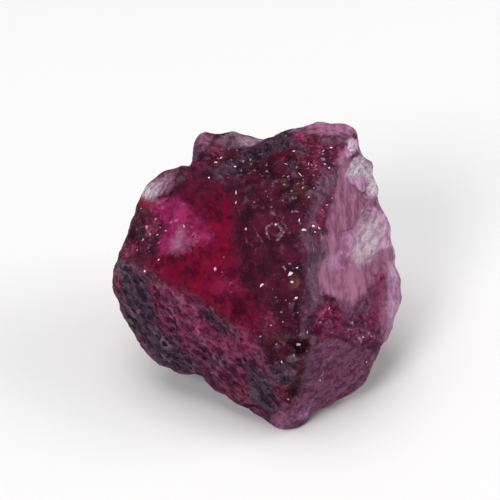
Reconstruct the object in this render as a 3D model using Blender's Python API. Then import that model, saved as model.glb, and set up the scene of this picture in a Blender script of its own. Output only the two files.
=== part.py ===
"""Raw ruby crystal: one broken, frosted lump of corundum, as a single closed solid.

Metres, +Z up. The origin lies on the flat resting face, under the middle of the stone's box.
The stone is laid out in millimetres from its show side, which leans back from upright:
across runs to the right, up runs up the show side, and out comes straight out of it.
It is built as nature left it: blocks that grew together, then broken flakes scooped away,
then parting ledges, pits and grains.
"""

import math

import bmesh
import bpy
from mathutils import Matrix, Vector, noise

# ---- Driving dimensions, in millimetres unless they say otherwise ----
MM = 0.001
SHOW_LEAN = math.radians(40)  # how far the show side leans back from upright
FLOOR = -11.0  # height of the resting face, from the middle of the show side
SLAB = 0.06  # side of the block, in metres, that the resting face is cut with
VOXEL = 0.30  # grain of the fused skin
TRIANGLES = 9200  # aimed at when the skin is thinned

PARTING_AXIS = Vector((0.76, 0.33, 0.56)).normalized()  # square to the parting planes
PARTING_SPACING = 1.5
PARTING_SHARE = 0.42  # how far a broken surface follows the planes
PARTING_RISER = (0.30, 0.70)  # the share of the spacing in which a ledge's riser stands
PARTING_WANDER = 0.7

CHIP_SIZE = 3.1  # across one shell-shaped chip
CHIP_DEPTH = 0.62
CHIP_LEVEL = 0.3  # share of its depth that lies under the even surface
CHIP_WANDER = 0.5

PIT_DEPTH = 0.34
PIT_SLANT = math.radians(51.5)  # the pits run down to the right
PIT_LENGTH = 1.7
PIT_WIDTH = 0.8

GRAIN_SIZE = 1.2
GRAIN_HEIGHT = 0.34
GRAIN_SEAM = 0.35  # how wide the gap between two grains is, in grain sizes

RIB_HEIGHT = 0.24
RIB_SPACING = 0.8
RIB_LENGTH = 6.0

WEATHER_DEPTH = 0.26  # of the broad unevenness
WEATHER_SIZE = 3.6
WEATHER_LAYERS = 4
SWELL = 0.08  # makes up for the corners that fusing rounds off
SEED = Vector((13.7, 4.2, 8.9))

RUBY = (0.27, 0.012, 0.07, 1.0)
RUBY_ROUGHNESS = 0.35

# Grown blocks. Each is the hull of its corners: those in view as (across, up, out),
# then those behind and below as (x, y, z) in the same millimetres.
BLOCKS = {
    "heart": (
        [
            (2.8, -13.2, 3.4),
            (3.8, -7.4, 7.3),
            (4.2, -2.4, 8.5),
            (5.8, -2.2, 8.3),
            (4.8, 2.8, 8.3),
            (6.4, 2.8, 7.9),
            (5.8, 7.6, 6.6),
            (7.4, 7.8, 5.9),
            (7.6, 12.2, 3.2),
            (8.9, 12.2, 2.6),
            (1.2, 13.7, -0.9),
            (-0.8, 13.5, -1.2),
            (-5.6, 11.0, 0.6),
            (-10.6, 6.6, 1.2),
            (-13.2, 1.6, 0.2),
            (-10.4, 0.6, 3.0),
            (-5.4, -2.8, 5.6),
            (-0.4, -6.0, 7.0),
            (2.0, -9.2, 6.3),
            (-11.6, -4.6, 0.0),
            (-5.2, -10.2, 0.8),
            (-3.9, -11.1, 0.8),
            (-2.3, -11.9, 0.8),
            (-0.4, -13.0, 0.8),
            (12.6, 4.0, -1.0),
            (12.4, -5.6, -1.0),
        ],
        [
            (-5.0, 12.6, 4.0),
            (7.0, 12.8, 5.0),
            (11.8, 9.0, -1.0),
            (-10.4, 8.8, -1.6),
            (1.4, 13.6, -3.0),
            (-8.8, 6.4, -7.0),
            (0.2, 11.6, -8.0),
            (7.4, 10.4, -7.2),
            (11.0, 4.2, -7.4),
            (-9.6, 1.8, -7.4),
            (-5.8, 0.8, -12.2),
            (-5.6, 4.4, -12.2),
            (-1.6, 7.2, -12.2),
            (4.4, 7.4, -12.2),
            (7.6, 3.6, -12.2),
            (7.6, -2.4, -12.2),
        ],
    ),
    "foot": (
        [
            (2.4, -15.5, 0.9),
            (3.9, -15.5, 0.9),
            (5.1, -14.8, 0.6),
            (5.7, -13.7, 0.6),
            (1.4, -14.6, 0.8),
            (-0.3, -13.4, 0.6),
            (3.2, -12.0, 4.4),
            (4.6, -11.8, 4.2),
            (0.6, -11.0, 3.6),
        ],
        [(3.2, -6.0, -12.2), (-1.0, -3.6, -12.2), (6.0, -5.4, -12.2), (3.0, 0.0, -6.0)],
    ),
    "lower right cheek": (
        [
            (6.4, -13.3, 0.4),
            (7.7, -12.9, 0.4),
            (9.9, -11.7, -0.4),
            (11.4, -10.1, -0.8),
            (12.2, -8.5, -1.0),
            (12.4, -7.3, -1.2),
            (5.4, -5.6, 7.3),
            (9.2, -6.5, 4.4),
            (12.0, -7.0, 0.6),
            (4.8, -12.0, 3.4),
        ],
        [(8.4, -4.6, -10.6), (9.6, 0.0, -9.0), (4.0, -4.0, -12.2), (4.0, 4.0, -4.0)],
    ),
    "right flank": (
        [
            (13.2, -6.6, -2.2),
            (14.0, -5.0, -2.6),
            (14.6, -3.5, -3.0),
            (14.7, -2.3, -3.1),
            (14.1, -0.4, -2.8),
            (14.0, 2.0, -2.6),
            (13.8, 3.2, -2.4),
            (13.7, 4.8, -2.2),
            (13.2, 6.6, -2.0),
            (12.7, 7.6, -1.9),
            (12.2, 8.4, -1.8),
            (6.8, 6.8, 5.6),
            (6.0, -1.6, 7.8),
            (7.0, -4.6, 6.8),
            (6.8, -6.8, 5.4),
            (12.8, -5.6, 1.0),
            (12.2, -7.4, -1.0),
            (13.0, 1.0, 0.8),
        ],
        [(12.2, 5.6, 1.0), (12.4, 6.0, -4.0), (4.0, 4.0, -4.0), (11.4, 1.0, -7.4)],
    ),
    "pale spur": (
        [
            (12.3, 9.6, -0.6),
            (11.6, 11.1, -0.8),
            (10.9, 11.8, -0.8),
            (10.6, 13.0, -0.9),
            (12.3, 7.9, -0.4),
            (9.3, 10.4, 2.5),
            (9.5, 7.6, 3.1),
            (11.5, 7.0, 1.6),
        ],
        [(9.8, 10.6, 3.6), (10.8, 9.6, 0.0), (6.0, 6.0, 0.0)],
    ),
    "peak": (
        [
            (10.5, 14.3, -0.6),
            (9.9, 15.2, -0.9),
            (8.0, 15.3, -1.2),
            (6.0, 15.3, -1.4),
            (4.3, 15.0, -1.3),
            (2.4, 14.1, -1.0),
            (8.8, 12.8, 2.8),
            (4.0, 12.2, 2.9),
            (10.6, 12.6, 0.6),
            (7.2, 8.6, 5.6),
        ],
        [(8.6, 12.6, 6.4), (2.0, 12.6, 6.2), (4.0, 6.0, 2.0)],
    ),
    "horn": (
        [
            (-6.0, 14.2, -1.6),
            (-5.5, 14.7, -1.8),
            (-3.6, 14.2, -2.0),
            (-2.3, 14.2, -2.2),
            (-0.4, 13.7, -2.3),
            (1.4, 13.7, -2.2),
            (-6.1, 12.6, -0.4),
            (-4.2, 12.8, 0.4),
            (0.4, 12.6, 0.4),
            (-6.5, 11.6, 0.0),
        ],
        [(-5.4, 10.6, 5.0), (0.8, 12.0, 6.0), (-2.0, 6.0, 2.0)],
    ),
    "left shoulder": (
        [
            (-6.9, 11.2, -0.6),
            (-9.1, 10.7, -1.0),
            (-10.6, 9.6, -1.2),
            (-11.4, 8.3, -1.2),
            (-11.8, 7.4, -1.0),
            (-12.1, 6.0, -0.8),
            (-12.7, 4.4, -0.8),
            (-12.9, 3.2, -1.6),
            (-9.8, 8.2, 1.6),
            (-11.2, 6.0, 1.2),
            (-7.0, 9.6, 1.7),
        ],
        [(-8.4, 9.0, 1.4), (-10.8, 6.4, 0.0), (-4.0, 4.0, 0.0)],
    ),
    "left flank": (
        [
            (-12.2, 5.6, -1.4),
            (-12.7, 4.3, -0.8),
            (-13.4, 2.8, -0.9),
            (-14.1, 1.1, -0.8),
            (-14.5, 0.0, -0.9),
            (-14.1, -1.4, -1.0),
            (-13.8, -3.0, -1.2),
            (-13.0, -4.8, -1.3),
            (-11.9, -6.7, -1.2),
            (-10.0, -8.8, -1.0),
            (-8.6, -9.6, -0.8),
            (-6.2, -10.1, -0.4),
            (-13.2, 1.4, 1.2),
            (-10.8, 0.2, 3.2),
            (-5.6, -3.2, 5.8),
            (-12.2, -2.4, 1.4),
            (-8.8, -6.6, 2.2),
        ],
        [(-10.6, 4.6, -2.6), (-8.4, 2.0, -7.4), (-2.0, 2.0, -4.0), (-5.6, -1.2, -9.0)],
    ),
}

# Flakes broken away: the middle and the reach as (across, up, out), the depth, and the share of
# the hollow that is floor before its wall begins to rise.
FLAKES = {
    "window": ((-4.8, 3.2, 5.0), (5.8, 6.6, 5.5), 1.0, 0.45),
    "window corner": ((-1.6, -1.6, 7.2), (3.4, 3.6, 3.6), 0.45, 0.1),
    "top hollow": ((-0.6, 10.8, 2.2), (4.6, 2.2, 3.4), 0.55, 0.1),
    "left nick": ((-9.8, 5.2, 2.4), (1.8, 2.4, 2.4), 0.35, 0.1),
    "crest pocket": ((4.4, -6.9, 7.4), (1.5, 1.3, 2.6), 0.9, 0.35),
    "flank veil": ((12.2, 3.4, 1.4), (2.8, 4.2, 4.0), 0.45, 0.55),
    "flank hollow": ((-8.2, -5.2, 2.8), (3.6, 2.2, 2.8), 0.35, 0.1),
    "back flake": ((2.0, 5.4, -11.0), (7.0, 6.4, 5.0), 1.5, 0.3),
    "back left flake": ((-9.0, -1.0, -7.6), (5.0, 5.6, 5.0), 1.0, 0.4),
    "back right flake": ((10.6, -2.0, -8.6), (4.0, 5.6, 5.0), 0.9, 0.4),
    "left of the base": ((-6.5, -7.9, -8.5), (3.6, 3.2, 3.4), 1.3, 0.3),
    "behind the base": ((5.0, -4.6, -12.4), (4.4, 3.4, 3.2), 1.4, 0.3),
    "right of the base": ((8.6, -9.4, -6.4), (3.2, 3.0, 3.2), 0.9, 0.3),
}
FLAKE_WANDER = 0.8  # how far the rims of the hollows wander
FLAKE_WANDER_SIZE = 2.9

# Patches of the skin, each with a relief of its own: middle, reach, and the share that is all patch.
SMOOTH_WINDOW = ((-4.8, 3.0, 5.0), (7.5, 7.5, 6.0), 0.6)
PLANE_CHEEK = ((8.0, -9.6, 3.0), (5.0, 3.6, 5.0), 0.6)
PITTED_FLANK = ((-6.4, -6.4, 2.6), (11.0, 7.6, 8.0), 0.4)
RIBBED_FLANK = ((10.2, 1.0, 2.0), (5.6, 9.5, 6.0), 0.0)
GRAINY_CREST = ((2.6, 7.0, 5.0), (9.5, 8.5, 7.5), 0.3)
GRAINY_BROW = ((3.0, -5.0, 6.6), (3.8, 10.0, 5.0), 0.3)
GRAINY_LEDGE = ((9.2, -5.9, 3.6), (5.4, 1.9, 5.0), 0.4)


def from_show_side(across, up, out):
    """The stone's own x, y, z of a point given on its show side."""
    tilt, rise = math.cos(SHOW_LEAN), math.sin(SHOW_LEAN)
    return Vector((across, up * rise - out * tilt, up * tilt + out * rise))


def on_show_side(point):
    """The other way round: (across, up, out) of a point in the stone's own frame."""
    tilt, rise = math.cos(SHOW_LEAN), math.sin(SHOW_LEAN)
    return Vector((point.x, point.y * rise + point.z * tilt, point.z * rise - point.y * tilt))


def smooth_step(low, high, value):
    """0 below low, 1 above high, and an S-curve between them."""
    share = min(max((value - low) / (high - low), 0.0), 1.0)
    return share * share * (3 - 2 * share)


def within(place, patch):
    """1 in the floor share of a patch's ellipsoid, then falling smoothly to 0 at its surface."""
    centre, radii, floor = patch
    offset = place - Vector(centre)
    reach = math.sqrt(sum((offset[axis] / radii[axis]) ** 2 for axis in range(3)))
    return 1 - smooth_step(floor, 1.0, reach)


def grown_blocks():
    """All the blocks as hulls in one mesh, still passing through each other."""
    stone = bmesh.new()
    for in_view, behind in BLOCKS.values():
        places = [from_show_side(*corner) for corner in in_view] + [Vector(corner) for corner in behind]
        corners = [stone.verts.new(place) for place in places]
        hull = bmesh.ops.convex_hull(stone, input=corners, use_existing_faces=False)
        inside = [item for item in hull["geom_interior"] if isinstance(item, bmesh.types.BMVert)]
        bmesh.ops.delete(stone, geom=inside, context="VERTS")
    return stone


def worked(stone, kind, **settings):
    """The mesh after one modifier of the given kind."""
    mesh = bpy.data.meshes.new("worked")
    stone.to_mesh(mesh)
    stone.free()
    holder = bpy.data.objects.new("worked", mesh)
    bpy.context.scene.collection.objects.link(holder)
    modifier = holder.modifiers.new("work", kind)
    for name, value in settings.items():
        setattr(modifier, name, value)
    evaluated = holder.evaluated_get(bpy.context.evaluated_depsgraph_get())
    skin = bmesh.new()
    skin.from_mesh(evaluated.to_mesh())
    evaluated.to_mesh_clear()
    bpy.data.objects.remove(holder)
    bpy.data.meshes.remove(mesh)
    return skin


def fused(stone):
    """The mesh as one closed skin."""
    return worked(stone, "REMESH", mode="VOXEL", voxel_size=VOXEL)


def thinned(stone):
    """The same skin with fewer triangles, most of them left where it bends."""
    return worked(stone, "DECIMATE", ratio=TRIANGLES / (2 * len(stone.faces)))


def break_flakes(stone):
    """Pushes the skin inwards where a flake is gone, which leaves a shallow shell-shaped hollow."""
    stone.normal_update()
    for vert in stone.verts:
        place = on_show_side(vert.co)
        place += FLAKE_WANDER * noise.noise_vector(place / FLAKE_WANDER_SIZE + SEED)
        vert.co -= vert.normal * sum(
            depth * within(place, (centre, radii, floor)) for centre, radii, depth, floor in FLAKES.values()
        )


def parting(point):
    """The step towards the nearest parting plane, so that slopes break into ledges."""
    level = point.dot(PARTING_AXIS) / PARTING_SPACING + PARTING_WANDER * noise.noise(point * 0.12 + SEED)
    part = level - math.floor(level)
    patchy = smooth_step(-0.3, 0.3, noise.noise(point * 0.13 - SEED))
    share = PARTING_SHARE * patchy * (1 - within(on_show_side(point), SMOOTH_WINDOW))
    return PARTING_AXIS * ((smooth_step(*PARTING_RISER, part) - part) * PARTING_SPACING * share)


def chips(point):
    """Shallow shell-shaped chips that meet in sharp rims, all over but where the stone is smooth."""
    wandered = point + CHIP_WANDER * noise.noise_vector(point * 0.4)
    near = noise.voronoi(wandered / CHIP_SIZE + SEED)[0][0]
    place = on_show_side(point)
    smooth = max(within(place, SMOOTH_WINDOW), 0.8 * within(place, PLANE_CHEEK))
    return CHIP_DEPTH * (min(near * near, 1.0) - CHIP_LEVEL) * (1 - smooth)


def pits(place):
    """Slanting elongated pits of the slate-coloured left flank."""
    along = math.cos(PIT_SLANT) * place.x - math.sin(PIT_SLANT) * place.y
    aside = math.sin(PIT_SLANT) * place.x + math.cos(PIT_SLANT) * place.y
    streak = noise.noise(Vector((along / PIT_LENGTH, aside / PIT_WIDTH, place.z * 0.8)) + SEED)
    return -PIT_DEPTH * within(place, PITTED_FLANK) * smooth_step(0.0, 0.4, streak)


def grains(place):
    """Knobbly grains of the dark crest, of the brow under it and of the ledge over the cheek."""
    share = within(place, GRAINY_CREST) + within(place, GRAINY_BROW) + within(place, GRAINY_LEDGE)
    near, far = noise.voronoi(place / GRAIN_SIZE + SEED)[0][:2]
    return GRAIN_HEIGHT * min(share, 1.0) * (smooth_step(0.0, GRAIN_SEAM, far - near) - 0.5)


def ribs(place):
    """Upright ribs of the glassy right flank."""
    rib = noise.noise(Vector((place.x + place.z / 2, place.y * RIB_SPACING / RIB_LENGTH, 0)) / RIB_SPACING + SEED)
    return RIB_HEIGHT * within(place, RIBBED_FLANK) * rib


def weathering(point):
    """Broad unevenness that the whole stone has."""
    return WEATHER_DEPTH * noise.fractal(point / WEATHER_SIZE + SEED, 0.8, 2.1, WEATHER_LAYERS) + SWELL


def roughen(stone):
    """Ledges, chips, pits, grains and ribs over the whole skin."""
    stone.normal_update()
    moves = []
    for vert in stone.verts:
        place = on_show_side(vert.co)
        height = pits(place) + grains(place) + ribs(place) + chips(vert.co) + weathering(vert.co)
        moves.append(parting(vert.co) + vert.normal * height)
    for vert, move in zip(stone.verts, moves):
        vert.co += move


def broken_stone():
    """The whole stone in millimetres, from the middle of its show side."""
    stone = fused(grown_blocks())
    break_flakes(stone)
    roughen(stone)
    return thinned(fused(stone))


def middle_of_base(stone):
    """The point of the resting face under the middle of the stone's box."""
    above = [vert.co for vert in stone.verts if vert.co.z > FLOOR]
    xs = [place.x for place in above]
    ys = [place.y for place in above]
    return Vector(((min(xs) + max(xs)) / 2, (min(ys) + max(ys)) / 2, FLOOR))


def cut_flat(crystal):
    """The parting face that the stone rests on: everything under it is cut away."""
    slab = bmesh.new()
    bmesh.ops.create_cube(slab, size=SLAB, matrix=Matrix.Translation((0, 0, -SLAB / 2)))
    mesh = bpy.data.meshes.new("under_the_floor")
    slab.to_mesh(mesh)
    slab.free()
    cutter = bpy.data.objects.new("under_the_floor", mesh)
    cutter.hide_render = True
    cutter.display_type = "WIRE"
    bpy.context.scene.collection.objects.link(cutter)
    cut = crystal.modifiers.new("resting face", "BOOLEAN")
    cut.operation = "DIFFERENCE"
    cut.object = cutter


def ruby_material():
    """Frosted purple-red ruby."""
    material = bpy.data.materials.new("ruby")
    material.use_nodes = True
    shader = material.node_tree.nodes["Principled BSDF"]
    shader.inputs["Base Color"].default_value = RUBY
    shader.inputs["Roughness"].default_value = RUBY_ROUGHNESS
    shader.inputs["Metallic"].default_value = 0.0
    return material


def ruby_crystal():
    """The crystal as one object in metres, on its resting face."""
    stone = broken_stone()
    onto_base = Matrix.Scale(MM, 4) @ Matrix.Translation(-middle_of_base(stone))
    bmesh.ops.transform(stone, matrix=onto_base, verts=stone.verts)
    mesh = bpy.data.meshes.new("ruby_crystal")
    stone.to_mesh(mesh)
    stone.free()
    mesh.materials.append(ruby_material())
    crystal = bpy.data.objects.new("ruby_crystal", mesh)
    bpy.context.scene.collection.objects.link(crystal)
    cut_flat(crystal)
    return crystal


for leftover in list(bpy.data.objects):
    bpy.data.objects.remove(leftover)
ruby_crystal()
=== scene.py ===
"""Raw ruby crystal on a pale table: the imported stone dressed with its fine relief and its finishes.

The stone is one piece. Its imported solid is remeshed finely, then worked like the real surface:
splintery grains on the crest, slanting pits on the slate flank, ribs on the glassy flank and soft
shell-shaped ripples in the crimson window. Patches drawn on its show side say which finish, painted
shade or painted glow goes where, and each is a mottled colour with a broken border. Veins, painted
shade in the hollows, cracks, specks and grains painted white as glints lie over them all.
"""

import logging
import math
from dataclasses import dataclass
from enum import Enum
from typing import Any, Optional, Union

import bmesh
import bpy
import numpy as np
from mathutils import Matrix, Vector, noise
from mathutils.bvhtree import BVHTree


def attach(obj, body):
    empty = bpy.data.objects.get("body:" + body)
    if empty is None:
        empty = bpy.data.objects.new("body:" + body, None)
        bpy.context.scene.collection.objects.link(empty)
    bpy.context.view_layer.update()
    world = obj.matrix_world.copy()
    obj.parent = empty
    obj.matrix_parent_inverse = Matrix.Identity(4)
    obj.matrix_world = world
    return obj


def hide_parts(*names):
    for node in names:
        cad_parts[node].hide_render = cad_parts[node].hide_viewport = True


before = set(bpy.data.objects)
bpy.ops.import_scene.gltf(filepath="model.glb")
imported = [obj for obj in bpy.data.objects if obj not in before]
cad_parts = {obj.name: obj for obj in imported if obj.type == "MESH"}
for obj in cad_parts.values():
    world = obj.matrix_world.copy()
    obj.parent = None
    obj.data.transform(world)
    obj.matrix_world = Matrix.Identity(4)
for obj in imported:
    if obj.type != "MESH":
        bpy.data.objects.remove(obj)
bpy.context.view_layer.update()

log = logging.getLogger("ruby")

Chip = tuple[int, int, int]  # a colour chip's red, green and blue, each 0 to 255
Tint = tuple[float, float, float, float]  # linear red, green, blue and alpha
Size = tuple[float, float, float]  # across, up and out, in millimetres
Span = tuple[float, float]  # where an S-curve leaves 0 and where it reaches 1

MM = 0.001
NODE = "ruby_crystal"
PIECE = "ruby_stone"
BODY = "root"
HOLLOW = "hollow"  # the mesh attribute that says how deep a place lies, which sets the painted shade in the hollows
GLINT = "glint"  # the mesh attribute that says how bright a set grain is, its whitest a painted glint
SEED = Vector((5.1, 17.3, 2.7))  # moves each noise away from its own origin
MIDDLE = 0.5  # of a noise, a share or a colour channel
ALL_AXES = {"use_axis_x": True, "use_axis_y": True, "use_axis_z": True}


def smooth_step(low: float, high: float, value: float) -> float:
    """An S-curve from 0 at low to 1 at high.

    Args:
        low: where the curve leaves 0.
        high: where it reaches 1.
        value: what is put on the curve.

    Returns:
        The height of the curve at value.
    """
    share = min(max((value - low) / (high - low), 0.0), 1.0)
    return share * share * (3 - 2 * share)


def soft_step(values: np.ndarray) -> np.ndarray:
    """The S-curve of smooth_step from -1 to 1, for many values at once."""
    share = np.clip((values + 1) / 2, 0.0, 1.0)
    return share * share * (3 - 2 * share)


def linear(chip: Chip) -> Tint:
    """The tint that a shader takes for a colour chip, by the sRGB curve."""
    parts = [channel / 255 for channel in chip]
    lit = [part / 12.92 if part <= 0.04045 else ((part + 0.055) / 1.055) ** 2.4 for part in parts]
    return (*lit, 1.0)


def add_object(name: str, data: bpy.types.ID) -> bpy.types.Object:
    """Puts a new object that holds the data into the scene."""
    made = bpy.data.objects.new(name, data)
    bpy.context.scene.collection.objects.link(made)
    return made


# ---------------------------------------------------------------- where things are


@dataclass(frozen=True)
class ShowSide:
    """The side that the stone shows, which leans back: across to the right, up it, and out of it, in mm."""

    lean: float = math.radians(40)
    middle: Size = (0.3230, 1.0395, -11.0)  # the resting face's middle from its own, along x, y and z
    aim: tuple[float, float] = (-0.5, 2.6)  # the point across and up that it is looked at
    distance: float = 208.0  # that it is looked at from, in millimetres

    @property
    def out(self) -> Vector:
        """The direction straight out of the show side."""
        return Vector((0, -math.cos(self.lean), math.sin(self.lean)))

    @property
    def up(self) -> Vector:
        """The direction up the show side."""
        return Vector((0, math.sin(self.lean), math.cos(self.lean)))

    def place(self, point: Vector) -> Vector:
        """The (across, up, out) in millimetres of a point in metres."""
        offset = point / MM + Vector(self.middle)
        return Vector((offset.x, offset.dot(self.up), offset.dot(self.out)))

    def point(self, across: float, up: float, out: float) -> Vector:
        """The point in metres at a place in millimetres."""
        return (Vector((across, 0, 0)) + self.up * up + self.out * out - Vector(self.middle)) * MM

    def drawn(self, places: np.ndarray) -> tuple[np.ndarray, np.ndarray]:
        """Where places come to lie across and up when the show side is drawn from its distance."""
        grown = self.distance / (self.distance - places[:, 2])
        return tuple(self.aim[axis] + (places[:, axis] - self.aim[axis]) * grown for axis in (0, 1))


@dataclass(frozen=True)
class Patch:
    """Where a finish lies on the show side, drawn corner by corner in millimetres."""

    soft: float  # how far its border fades to either side
    strength: float
    walk: tuple[float, ...]  # each corner's place across and up, in turn

    @property
    def corners(self) -> list[tuple[float, float]]:
        """Its corners, each across and up."""
        return list(zip(self.walk[::2], self.walk[1::2]))

    def reach(self, across: np.ndarray, up: np.ndarray, ends: list[tuple[float, float]]) -> np.ndarray:
        """How far each of many places is from the line through the corners.

        Args:
            across: how far across each place is.
            up: how far up each place is.
            ends: the corners that the line goes to, one for each of its straights.

        Returns:
            The distances.
        """
        nearest = np.full(across.shape, np.inf)
        for (x0, y0), (x1, y1) in zip(self.corners, ends):
            run, rise = x1 - x0, y1 - y0
            along = np.clip(((across - x0) * run + (up - y0) * rise) / (run * run + rise * rise), 0.0, 1.0)
            nearest = np.minimum(nearest, np.hypot(across - x0 - along * run, up - y0 - along * rise))
        return nearest

    def share(self, across: np.ndarray, up: np.ndarray) -> np.ndarray:
        """How much of the finish lies at each of many places.

        Args:
            across: how far across each place is.
            up: how far up each place is.

        Returns:
            From 0 outside the border to the patch's strength inside it.
        """
        ends = self.corners[1:] + self.corners[:1]
        nearest = self.reach(across, up, ends)
        inside = np.zeros(across.shape, dtype=bool)
        for (x0, y0), (x1, y1) in zip(self.corners, ends):
            if y0 != y1:
                inside ^= ((y0 > up) != (y1 > up)) & (across < x0 + (up - y0) * (x1 - x0) / (y1 - y0))
        return self.strength * soft_step(np.where(inside, nearest, -nearest) / self.soft)


@dataclass(frozen=True)
class Line(Patch):
    """A finish that lies along an open line, with soft as half its width."""

    def share(self, across: np.ndarray, up: np.ndarray) -> np.ndarray:
        """How much of the finish lies at each of many places, up to the strength on the line."""
        return self.strength * soft_step(1 - self.reach(across, up, self.corners[1:]) / self.soft)


class Layer(Enum):
    """The finishes, painted shade and painted glow that lie in patches, by the names of their mesh
    attributes.
    """

    WINDOW = "window"
    # painted glow: a brighter red where the window glows from the light inside it
    EMBER_GLOW = "ember_glow"
    MAGENTA = "magenta"
    CRUMBLE = "crumble"
    PLUM = "plum"
    MAUVE = "mauve"
    SLATE = "slate"
    RIDGE = "ridge"
    ROSE = "rose"
    LEDGE = "ledge"
    CHEEK = "cheek"
    FLUSH = "flush"
    VEIL = "veil"
    PEARL = "pearl"
    FROST = "frost"
    RUST = "rust"
    # painted shade: dark patches where pits and the crest's hollows lie in shadow; some also deepen the
    # window's tone towards its edge
    SHADE = "shade"
    CREASE = "crease"
    THREAD = "thread"
    CLEAR = "clear"


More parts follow.
